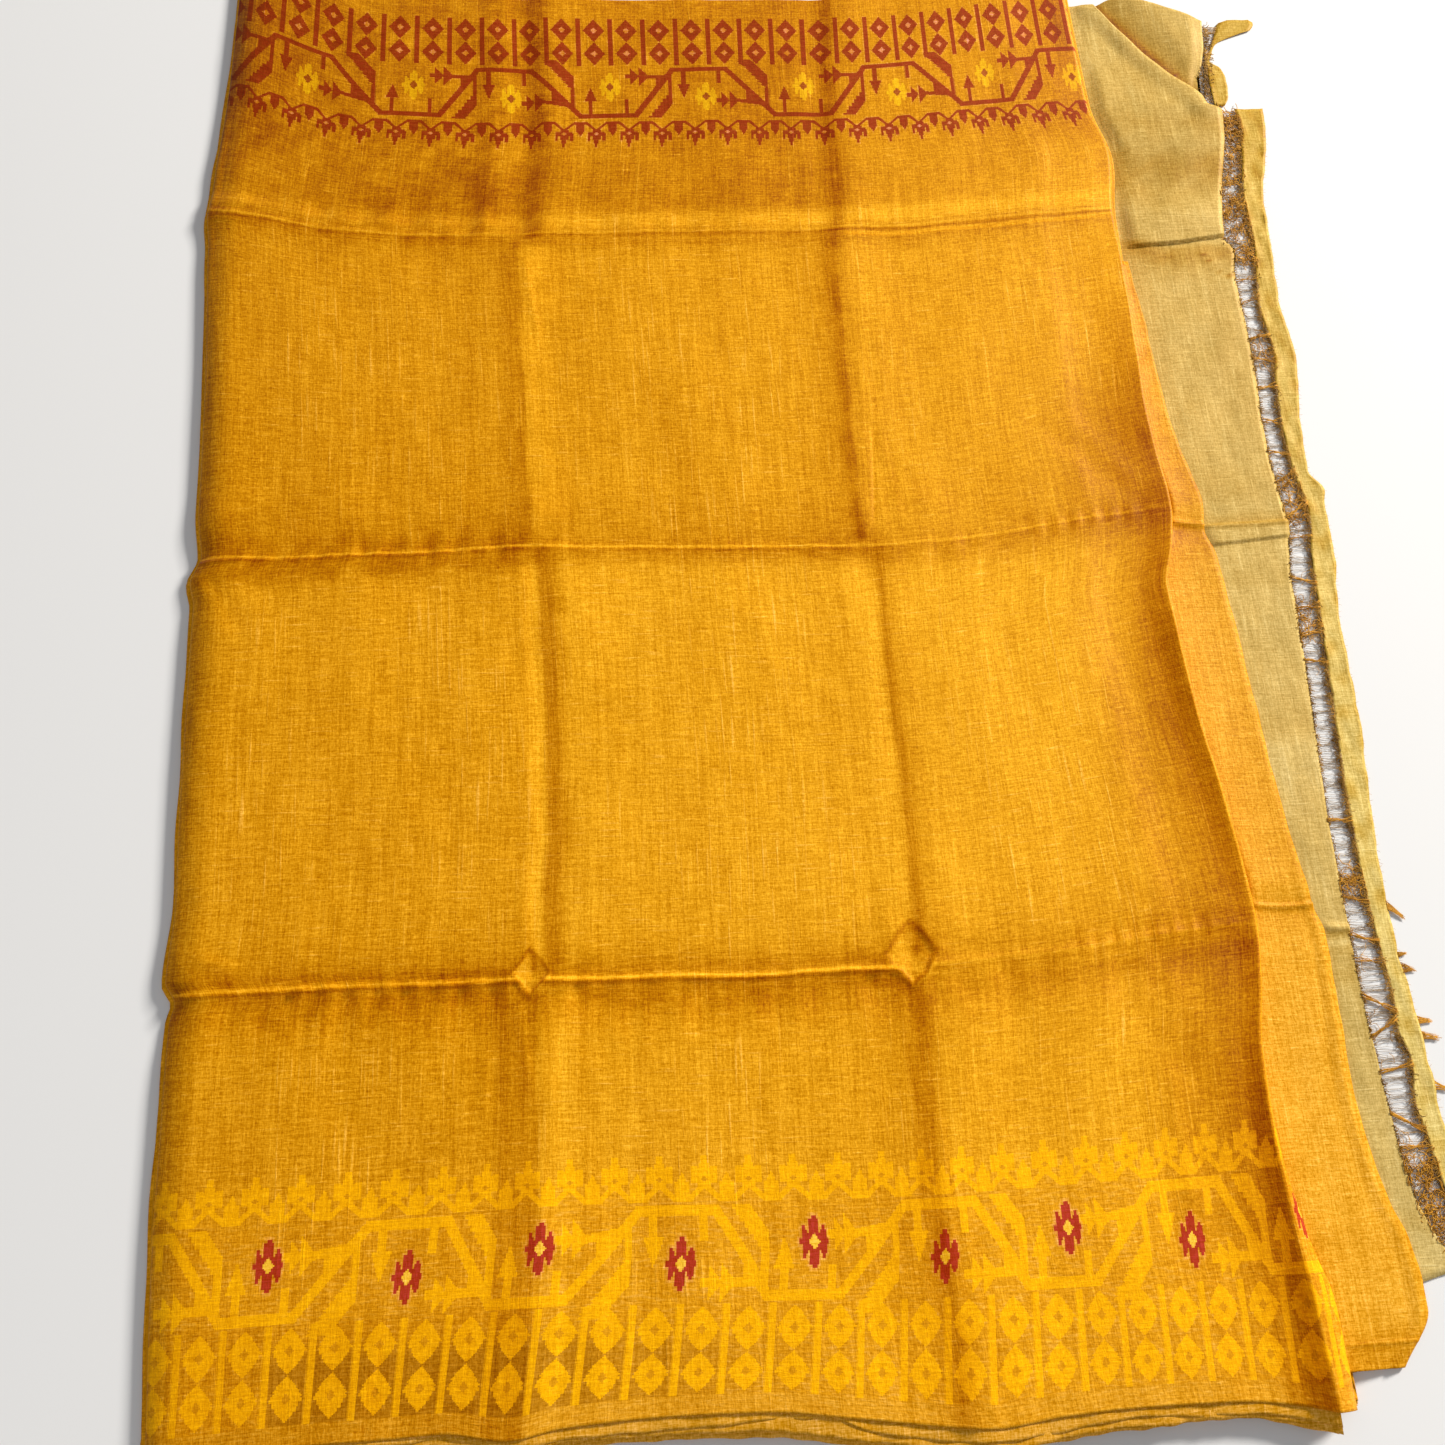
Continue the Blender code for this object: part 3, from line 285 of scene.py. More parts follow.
FRINGE = table(
    "y length width lean",
    (0.085, 0.0075, 0.003, -0.3), (0.105, 0.01, 0.0036, -0.45), (0.131, 0.007, 0.0028, -0.25),
    (0.173, 0.0095, 0.0042, -0.35), (0.206, 0.012, 0.0036, -0.2), (0.216, 0.0085, 0.0034, -0.1),
    (0.252, 0.008, 0.005, -0.25), (0.261, 0.0045, 0.0024, 0.1), (0.296, 0.0135, 0.0044, -0.75),
)
LAYER_EDGES = table(
    "level left hem selvedge",
    (0.9, 0.002, 0.001, 0.0012), (0.8, 0.0008, 0.002, 0.0004), (0.7, 0.004, 0.003, 0.0034),
    (0.59, 0.0022, 0.004, 0.002), (0.48, 0.0032, 0.008, 0.003), (0.36, 0.0014, 0.006, 0.0012),
    (0.24, 0.0046, 0.0084, 0.0042), (0.1, 0.0026, 0.007, 0.0024),
)
HEM_SHEETS = table_in_mm(
    "u first second third",
    (0, 3, 7, 9.5), (100, 4, 8, 10), (200, 3, 6.5, 11), (260, 6, 8, 11.5), (320, 7, 10, 13),
    (385, 3.5, 11, 14.5), (410, 1.2, 11.5, 15), (440, 7.5, 12.5, 15), (480, 8.5, 12.5, 14),
    (520, 8, 13, 13.5), (550, 8.5, 12, 13.5), (580, 6, 10.5, 12.5), (610, 5.5, 10.5, 12),
    (640, 7.5, 9, 10), (670, 6.5, 9, 9.5), (700, 7, 10.5, 12), (722, 8, 12, 13),
)
# of each hem sheet: its height inside and at its edge, as shares of the stack's, and how late it falls
SHEET_LEVELS = ((0.975, 0.930, 2), (0.930, 0.865, 2), (0.875, 0.550, 5))
SHEET_STOPS = (0.0, 0.35, 0.62, 0.80, 0.92, 1.0)
HEM_WAVES = 5.0
HEM_WAVE_SHARE = 0.24
BUNDLES = table(
    "y lean strands loops",
    (0.7674, 0.004, 9, 3), (0.7453, -0.002, 6, 1), (0.7198, 0.001, 8, 2), (0.6882, -0.001, 6, 1),
    (0.6591, -0.002, 5, 1), (0.6375, 0.006, 7, 3), (0.6083, 0.01, 12, 10), (0.5849, 0.002, 5, 3),
    (0.5484, -0.004, 7, 3), (0.5257, 0.002, 8, 7), (0.5051, 0.003, 7, 4), (0.4816, -0.002, 8, 5),
    (0.3589, 0, 10, 1), (0.3148, 0.001, 9, 9), (0.3011, -0.003, 9, 6), (0.2734, -0.006, 10, 3),
    (0.2579, -0.002, 5, 4), (0.2287, -0.009, 10, 1), (0.2118, 0.008, 10, 3), (0.185, 0.003, 9, 3),
    (0.15, -0.009, 12, 4), (0.1342, 0, 6, 12), (0.8029, 0.004, 4, 2), (0.824, 0.002, 4, 2),
)
TANGLES = table(
    "y_low y_high strands",
    (0.074, 0.129, 150), (0.84, 0.872, 60), (0.87, 0.905, 90), (0.905, 0.972, 90), (0.97, 0.996, 90),
    (0.303, 0.322, 30), (0.595, 0.64, 60), (0.5, 0.53, 30), (0.74, 0.77, 24),
)

# The borders' chart: places along the cloth and in the chart, which is counted in bars.
LOWER_CHART = table(
    "u bar",
    (0.0733, 0.97), (0.1601, 4.05), (0.2423, 6.97), (0.3291, 10.05), (0.4114, 12.97), (0.4921, 16.05),
    (0.5739, 18.97), (0.6547, 22.05),
)
UPPER_CHART = table(
    "u bar",
    (0.0628, -5.03), (0.1486, -1.95), (0.2279, 0.97), (0.3081, 4.05), (0.3864, 6.97), (0.4667, 10.05),
    (0.5495, 12.97), (0.6327, 16.05), (0.715, 18.97),
)
UPPER_MARGIN = 10.0  # mm more plain cloth outside the upper border
CHARTS_MEET = 0.561
LOWER_BORDER_ENDS = 0.166
UPPER_BORDER_STARTS = 0.966
# how far the figures lean, in bars a mm, below and above the flowers of the lower border
LEAN_FROM = 100
LEAN_LOW = ((0.03, 0.15, 0.33, 0.45, 0.50, 0.58, 0.70),
            (0.0015, 0.0022, 0.0036, 0.0060, 0.0064, 0.0046, 0.0035))
LEAN_HIGH = ((0.0, 0.12, 0.19, 0.26, 0.40, 0.46, 0.55, 0.70),
             (0.0, 0.001, 0.0035, 0.0, 0.0, 0.003, 0.001, 0.006))
PITCH = 28.3  # mm from bar to bar
REPEAT = 6.0  # bars
CELL_X, CELL_T = 1.05, 0.95  # mm of one woven step

# Colours and how they change: with the weave, and with painted shade in a crease and where the cloth turns
# from the main light, which is painted warmer.
GOLD = (0.730, 0.305, 0.0045)
GOLD_LIGHT = (0.880, 0.470, 0.070)
PALE_LIGHT = (0.760, 0.560, 0.200)
GOLD_WEAVE = (0.24, 0.34, 1.50)
PALE_WEAVE = (0.22, 0.26, 0.42)
GOLD_DEPTH = (0.77, 1.16, 4.60)
PALE_DEPTH = (0.70, 1.20, 2.80)
SHADE_WARMTH = (0.22, 0.00, -0.50)
SHEEN_TINT = (1.0, 0.62, 0.12)
RED_HALO = (0.760, 0.320, 0.070)
FLOWER_HALO = (0.850, 0.360, 0.060)
YELLOW_GROUND = (0.682, 0.264, 0.003)
YELLOW_GLINT = (0.760, 0.365, 0.030)
# painted shade between the lower border's diamonds
ROW_GAP_SHADE = (0.400, 0.145, 0.003)
HEM_TINT = (0.650, 0.285, 0.012)
RED_BORDER, YELLOW_BORDER = table(
    "fat figures share wear hearts heart_share petals eye",
    (0.0, (0.320, 0.022, 0.003), 0.88, 0.10, (0.800, 0.300, 0.120), 0.85,
     (0.880, 0.470, 0.004), (0.380, 0.070, 0.012)),
    (0.8, (0.940, 0.420, 0.0008), 0.76, 0.22, (0.560, 0.205, 0.004), 0.66,
     (0.420, 0.018, 0.010), (0.950, 0.520, 0.03)),
)


# Curves and surfaces
def smooth_between(places, values, at):
    """Values on a smooth curve through a table, with no overshoot between its rows."""
    places = np.asarray(places, float)
    values = np.asarray(values, float)
    at = np.clip(np.asarray(at, float), places[0], places[-1])
    step = np.diff(places)
    rise = np.diff(values) / step
    slope = np.zeros(len(places))
    same_way = rise[:-1] * rise[1:] > 0
    total = np.where(same_way, rise[:-1] + rise[1:], 1.0)
    slope[1:-1] = np.where(same_way, 2 * rise[:-1] * rise[1:] / total, 0.0)
    slope[0], slope[-1] = rise[0], rise[-1]
    i = np.clip(np.searchsorted(places, at, side="right") - 1, 0, len(step) - 1)
    t = (at - places[i]) / step[i]
    lead_in, lead_out = slope[i] * step[i], slope[i + 1] * step[i]
    start = values[i] * (1 + 2 * t) * (1 - t) ** 2 + lead_in * t * (1 - t) ** 2
    return start + values[i + 1] * t * t * (3 - 2 * t) + lead_out * t * t * (t - 1)


def column(rows, name, at):
    """A named column's values, along the first column."""
    return smooth_between([row[0] for row in rows], [getattr(row, name) for row in rows], at)


def across_fold(values, off):
    """A fold's values at distances from its line: half curved, half straight between places."""
    return 0.45 * smooth_between(FOLD_OFFSETS, values, off) + 0.55 * np.interp(off, FOLD_OFFSETS, values)


def soft_step(value):
    value = np.clip(value, 0.0, 1.0)
    return value * value * (3 - 2 * value)


def after(place, start, width):
    """0 before the start, rising to 1 over the width."""
    return soft_step((place - start) / width)


def before(place, end, width):
    """1, falling over the width to 0 at the end."""
    return soft_step((end - place) / width)


def bump(value):
    return np.exp(-np.square(value))


def ripples(x, y, seed, count, shortest, longest):
    """Gentle random waves, about 1 high, from a fixed seed."""
    draw = np.random.default_rng(seed)
    total = np.zeros(np.broadcast(x, y).shape)
    for _ in range(count):
        length = math.exp(draw.uniform(math.log(shortest), math.log(longest)))
        turn = draw.uniform(0, math.pi)
        phase = draw.uniform(0, 2 * math.pi)
        across = x * math.cos(turn) + y * math.sin(turn)
        total = total + np.sin(2 * math.pi * across / length + phase)
    return total / math.sqrt(count)


def graded(low, high, coarse, marks):
    """Places from low to high, close together near the marks (place, half width, step)."""
    places = [low]
    while places[-1] < high:
        here = places[-1]
        steps = [fine + 0.22 * max(0.0, abs(here - place) - half) for place, half, fine in marks]
        places.append(here + min(coarse, *steps))
    places = np.array(places)
    return low + (places - low) * (high - low) / (places[-1] - low)


def plan_grid(us, vs):
    """Where the points u along and v across the cloth lie on the floor plan."""
    left = column(PLAN, "x_left", vs) + column(LEFT_JOGS, "step", vs)
    xs = [left, column(PLAN, "x_fold1", vs), column(PLAN, "x_fold2", vs), column(LIP, "x", vs)]
    ys = [column(PLAN, name, vs) for name in ("y_left", "y_shoulder", "y_fold1", "y_fold2", "y_lip")]
    stops_x = (0.0, *LENGTH_FOLDS, PANEL_LENGTH)
    stops_y = (0.0, SHOULDER, *LENGTH_FOLDS, PANEL_LENGTH)
    x = np.stack([np.interp(us, stops_x, row) for row in np.stack(xs, axis=1)])
    y = np.stack([smooth_between(stops_y, row, us) for row in np.stack(ys, axis=1)])
    return x, y


def between(start, end, shares):
    """A grid of values from a start to an end that are given for each row."""
    return start[:, None] + (end - start)[:, None] * shares[None, :]


def shares_between(place, lines, reach):
    """How much of each stretch between the lines a place belongs to, changing over the reach."""
    steps = [soft_step((place - line) / (2 * reach) + 0.5) for line in lines]
    steps = [np.ones_like(place), *steps, np.zeros_like(place)]
    return [steps[i] - steps[i + 1] for i in range(len(lines) + 1)]


def from_cross_fold(u, v, number):
    """Distance from a cross fold's slightly wavy line."""
    return v - CROSS_FOLDS[number] - 0.0008 * ripples(u, 0 * v, 21 + number, 6, 0.04, 0.30)


def fold_parts(u, v):
    """For each fold and stretch of it: the share of a place, the swell, the distance and the tables."""
    stretch = shares_between(v, CROSS_FOLDS, SWAP_REACH)
    for number, fold in enumerate(LENGTH_FOLDS):
        off = u - fold - 0.0012 * ripples(0 * u, v, 3 + number, 6, 0.05, 0.30)
        swell = 1.0 + 0.14 * ripples(0 * u, v, 13 + number, 5, 0.04, 0.20)
        for share, rise, shade in zip(stretch, LENGTH_RISES[number], LENGTH_SHADES[number]):
            yield share, swell, off, rise, shade
    panel = shares_between(u, LENGTH_FOLDS, 0.020)
    for number, amount in enumerate((0.26, 0.22, 0.12)):
        off = from_cross_fold(u, v, number)
        swell = 1.0 + amount * ripples(u, 0 * v, 31 + number, 7, 0.02, 0.14)
        for share, rise, shade in zip(panel, CROSS_RISES[number], CROSS_SHADES[number]):
            yield share, swell, off, rise, shade


def pinch_places(u, v):
    """For each pinch, a place's distance from its middle sideways and along, and the two together."""
    for number, row in enumerate(PINCHES):
        side, along = (u - row.u) / row.half_u, (v - row.v) / row.half_v
        side = side + 0.07 * ripples(u, v, 55 + number, 4, 0.012, 0.03)
        yield side, along, np.abs(side) + np.abs(along)


def crease_shade(u, v):
    """The painted shade of the folds' tables, with a thin painted highlight along each ridge and a line of
    painted shade below it.
    """
    shade = np.zeros_like(u + v)
    for share, _, off, _, dark in fold_parts(u, v):
        shade = shade + share * 0.01 * across_fold(dark, off)
    for number, (place, shares) in enumerate(zip(RIDGE_PLACES, RIDGE_SHARES)):
        off = from_cross_fold(u, v, number) - place
        sharp = np.interp(u, RIDGE_STOPS, shares)
        shade = shade - 0.50 * sharp * bump(off / 0.0011) + 0.24 * sharp * bump((off + 0.0026) / 0.0013)
    patchy = 1 + 0.36 * ripples(u, v, 51, 10, 0.012, 0.07)
    return np.where(shade > 0.06, 0.06 + (shade - 0.06) * patchy, shade)


def lip_shade(u, v):
    """The painted shade beside the right-hand fold."""
    place = (u - PANEL_LENGTH) * 1000
    rows = np.stack([np.interp(place, LIP_OFFSETS, row.shade) for row in LIP_SHADES])
    at = np.interp(v, [row.v for row in LIP_SHADES], np.arange(len(LIP_SHADES))) + 0 * u
    low = np.clip(at.astype(int), 0, len(LIP_SHADES) - 2)
    part = soft_step(at - low)
    below, above = [np.take_along_axis(rows, low[None] + step, 0)[0] for step in (0, 1)]
    return 0.01 * (below * (1 - part) + above * part) * (1 + 0.12 * ripples(u, v, 52, 8, 0.02, 0.10))


def broad_shade(u, v):
    """The painted shade of the left edge and of whole panels."""
    rim = np.interp(u, *EDGE_SHADE) * after(v, 0.05, 0.10)
    top = np.interp(u, *TOP_SHADE) * after(v, 0.945, 0.03)
    band = np.interp(u, *BAND_SHADE) * after(v, 0.903, 0.012) * before(v, 0.972, 0.03)
    right = after(u, 0.50, 0.03) * after(v, 0.29, 0.02) * before(v, 0.90, 0.02)
    upper = after(v, 0.615, 0.015) * before(v, 0.89, 0.02)
    corner = before(v, 0.075, 0.01) * before(u, 0.245, 0.02)
    return rim + top + band + right * (0.03 + 0.03 * upper) + 0.04 * upper + 0.12 * corner


def fold_shade(u, v):
    """How much deeper the colour is painted along the creases, as painted shade, from 0 to about 0.7; below 0
    it is painted light.
    """
    shade = crease_shade(u, v) + lip_shade(u, v)
    # each pinch's painted shade: an outline, darker on its upper edges, a painted highlight along its lower
    # rim, the fold's shade taken out inside, and one facet and a middle line painted deeper
    pinch = np.zeros_like(shade)
    for side, along, reach in pinch_places(u, v):
        inside = soft_step((1.0 - reach) / 0.16)
        upper, lower = soft_step(0.30 + 1.4 * along), soft_step(-0.10 - 2.0 * along)
        pinch = pinch + bump((reach - 1.0) / 0.12) * (0.10 + 0.42 * upper)
        pinch = pinch - 0.26 * lower * bump((reach - 1.10) / 0.10) - inside * shade
        facet = soft_step(0.5 + 3.0 * (0.8 * side + 0.5 * along - 0.05))
        middle = bump((side - 0.12 * np.sin(4 * along) - 0.08) / 0.11)
        pinch = pinch + inside * (0.24 * facet + 0.20 * middle - 0.05)
    return np.clip(shade + broad_shade(u, v) + pinch, -0.30, 0.80)


def fold_relief(u, v):
    """Creases of the storage folds, and the puckered diamonds where the lower cross fold meets the
    length folds: each is a dent with four facets and a raised lower rim, in the folds' place."""
    folds, rise, taken = (np.zeros_like(u + v) for _ in range(3))
    for share, swell, off, table_rise, _ in fold_parts(u, v):
        folds = folds + share * swell * 0.0001 * across_fold(table_rise, off)
    for _, along, reach in pinch_places(u, v):
        rise = rise - 0.0017 * np.maximum(0.0, 1 - reach)
        rise = rise + 0.0007 * bump((reach - 1.06) / 0.14) * soft_step(0.5 - along)
        taken = taken + soft_step((1.05 - reach) / 0.30)
    return rise + folds * (1 - 0.70 * taken)


def small_relief(u, v):
    """Puckers along the folds, stray creases and the slack of the cloth between."""
    rise = 0.00045 * ripples(u, v, 5, 12, 0.045, 0.22)
    rise = rise + 0.00010 * ripples(u, v, 6, 14, 0.014, 0.04)
    phase = 1.4 * ripples(u, 0 * v, 41, 4, 0.02, 0.08)
    for row in PUCKERS:
        window = after(u, row.u_low, 0.02) * before(u, row.u_high, 0.02)
        wave = np.sin(2 * math.pi * (u - row.u_low) / row.wave + phase)
        rise = rise + row.height * window * wave * bump((v - row.v) / row.reach)
    for row in SMALL_CREASES:
        along = np.array((row.u1 - row.u0, row.v1 - row.v0))
        length = float(np.linalg.norm(along))
        along /= length
        run = (u - row.u0) * along[0] + (v - row.v0) * along[1]
        off = (u - row.u0) * along[1] - (v - row.v0) * along[0]
        fade = after(run, -0.006, 0.012) * before(run, length + 0.006, 0.012)
        rise = rise + row.height * fade * bump(off / row.width)
    return rise


def panel_crown(u, v):
    """Each panel between the folds swells a little in its middle."""
    rise = PANEL_CROWN
    for place, lines in ((u, (0.0, *LENGTH_FOLDS, PANEL_LENGTH)), (v, (0.0, *CROSS_FOLDS, CLOTH_WIDTH))):
        lines = np.array(lines)
        i = np.clip(np.searchsorted(lines, place, side="right") - 1, 0, len(lines) - 2)
        share = np.clip((place - lines[i]) / (lines[i + 1] - lines[i]), 0, 1)
        rise = rise * np.sin(math.pi * share)
    return rise


def top_height(u, v):
    """The top stretch's height. Its left edge rounds down, and its right-hand fold stands up: a
    long gentle slope and then a short steep one."""
    height = STACK_TOP + panel_crown(u, v) + fold_relief(u, v) + after(u, 0.001, 0.006) * small_relief(u, v)
    height = height - LEFT_DROP * np.maximum(0.0, 1 - u / LEFT_ROUND) ** 2.2
    climb = np.clip(1 - (PANEL_LENGTH - u) / LIP_REACH, 0.0, 1.0)
    height = height - LIP_DIP * np.sin(math.pi * climb) * (1 - climb)
    crest = column(LIP, "crest", v) + 0.0006 * ripples(0 * u, v, 9, 5, 0.03, 0.12)
    off = np.maximum(PANEL_LENGTH - u, 0.0)
    gentle = soft_step(1 - off / np.interp(v, *GENTLE_REACH))
    steep = np.maximum(0.0, 1 - off / np.interp(v, *STEEP_REACH)) ** 1.35
    return height + (crest - height) * (0.30 * gentle + 0.70 * steep)


# Meshes
def add_mesh(name, points, faces, layers, material):
    """A smooth mesh on the frame's root body. Its UV layers are its cloth coordinates in metres, its
    painted shade and warmth, and its place in the borders' chart."""
    points = np.array(points, float).reshape(-1, 3)
    points[:, :2] += SHIFT
    mesh = bpy.data.meshes.new(name)
    mesh.from_pydata(points.tolist(), [], faces)
    corner = np.zeros(len(mesh.loops), np.int32)
    mesh.loops.foreach_get("vertex_index", corner)
    layers = {"shade": np.zeros((len(points), 2)), **layers}
    for layer_name in UV_LAYERS:
        if layer_name in layers:
            values = np.asarray(layers[layer_name], np.float32).reshape(-1, 2)
            mesh.uv_layers.new(name=layer_name).data.foreach_set("uv", values[corner].ravel())
    mesh.polygons.foreach_set("use_smooth", [True] * len(mesh.polygons))
    mesh.materials.append(material)
    mesh.update()
    made = bpy.data.objects.new(name, mesh)
    bpy.context.scene.collection.objects.link(made)
    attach(made, "root")
    return made


def grid_faces(rows, columns):
    r, c = np.meshgrid(np.arange(rows - 1), np.arange(columns - 1), indexing="ij")
    a = (r * columns + c).ravel()
    return np.stack([a, a + 1, a + columns + 1, a + columns], axis=1).tolist()


def add_sheet(name, points, layers, material):
    return add_mesh(name, points, grid_faces(*points.shape[:2]), layers, material)


def add_finish(made, material, chosen):
    """Give the chosen faces of a mesh one more material."""
    made.data.materials.append(material)
    index = np.zeros(len(made.data.polygons), np.int32)
    made.data.polygons.foreach_get("material_index", index)
    index[chosen] = len(made.data.materials) - 1
    made.data.polygons.foreach_set("material_index", index)
    made.data.update()


def with_rims(points, layers, inward, drop, sides="lrbt"):
    """A grid with its edges turned under at the left, right, bottom or top, so that each edge shows
    as a thickness of cloth. The points of the edge's rim take the edge's UV values."""
    grids = [points, *layers.values()]
    for side in sides:
        if side in "lr":
            grids = [grid.swapaxes(0, 1) for grid in grids]
        if side in "rt":
            grids = [grid[::-1] for grid in grids]
        edge = grids[0][0]
        out = edge - grids[0][1]
        out[:, 2] = 0
        out /= np.maximum(np.linalg.norm(out, axis=1, keepdims=True), 1e-9)
        down = np.array((0.0, 0.0, drop))
        rim = [edge - out * inward - down, edge - out * inward * 0.3 - down,
               edge + out * 0.10 * drop - down * 0.5]
        rims = [np.stack(rim)] + [np.stack([grid[0]] * 3) for grid in grids[1:]]
        grids = [np.concatenate(pair) for pair in zip(rims, grids)]
        if side in "rt":
            grids = [grid[::-1] for grid in grids]
        if side in "lr":
            grids = [grid.swapaxes(0, 1) for grid in grids]
    return grids[0], dict(zip(layers, grids[1:]))


def add_strip(name, material, place, shift, shade, inward, drop, sides, lowest=0.0):
    """A sheet with turned-under edges, from its place (x, y, z). The shift gives its cloth
    coordinates a part of the weave of their own."""
    x, y, z = place
    layers = {"cloth": np.stack([x + shift, y], axis=2), "shade": np.stack([shade, 0 * shade], axis=2)}
    points, layers = with_rims(np.stack([x, y, z], axis=2), layers, inward, drop, sides)
    points[:, :, 2] = np.maximum(points[:, :, 2], lowest)
    return add_sheet(name, points, layers, material)


# Shader numbers
class Number:
    """A number that a material works out at each point of the cloth."""

    def __init__(self, tree, socket):
        self.tree = tree
        self.socket = socket

    def make(self, operation, *values):
        node = self.tree.nodes.new("ShaderNodeMath")
        node.operation = operation
        for socket, value in zip(node.inputs, values):
            if isinstance(value, Number):
                self.tree.links.new(value.socket, socket)
            else:
                socket.default_value = float(value)
        return Number(self.tree, node.outputs[0])

    def __add__(self, other):
        return self.make("ADD", self, other)

    def __sub__(self, other):
        return self.make("SUBTRACT", self, other)

    def __rsub__(self, other):
        return self.make("SUBTRACT", other, self)

    def __neg__(self):
        return 0.0 - self

    def __mul__(self, other):
        return self.make("MULTIPLY", self, other)

    def __truediv__(self, other):
        return self * (1.0 / other)

    __radd__ = __add__
    __rmul__ = __mul__

    def clamp(self):
        made = self + 0.0
        made.socket.node.use_clamp = True
        return made


def lo(a, b):
    return a.make("MINIMUM", a, b)


def hi(a, b):
    return a.make("MAXIMUM", a, b)


def mag(a):
    return a.make("ABSOLUTE", a)


def down(a):
    return a.make("FLOOR", a)


def any_of(*fields):
    return reduce(hi, fields)


def all_of(*fields):
    return reduce(lo, fields)


def over(value, low, high):
    """0 below low, 1 above high."""
    return ((value - low) / (high - low)).clamp()


def under(value, high, low):
    """0 above high, 1 below low."""
    return over(-value, -high, -low)


# The border's chart: fields that are above 0 inside a figure, by its place x along and t across in mm
def rect(x, t, cx, ct, hx, ht):
    return lo(hx - mag(x - cx), ht - mag(t - ct))


def past(x, t, start, end):
    """How far x is to the right of a slanting line."""
    (x0, t0), (x1, t1) = start, end
    slope = (x1 - x0) / (t1 - t0)
    return x - t * slope + (t0 * slope - x0)


def stroke(x, t, start, end, half):
    low, high = sorted((start[1], end[1]))
    return all_of(half - mag(past(x, t, start, end)), t - (low - 2.4), (high + 2.4) - t)


def arrow(along, across, base, tip, half):
    """A triangle from its base to its tip, which point along."""
    rise = (along - base) / (tip - base)
    return lo(half - half * rise - mag(across), rise * 20.0)


def flower(x, t, cx, ct):
    """A flower's petals and its middle."""
    ax, at = mag(x - cx), mag(t - ct)
    petals = any_of(
        lo(3.1 - ax, 13.4 - at), lo(1.6 - ax, 16.0 - at), lo(8.0 - ax, 5.0 - at),
        lo(9.3 - ax, 1.9 - at), lo(0.9 - mag(ax - 6.4), 9.8 - at), lo(1.7 - mag(ax - 6.2), 7.4 - at),
    )
    return petals, 1.0 - ax / 3.7 - at / 5.2


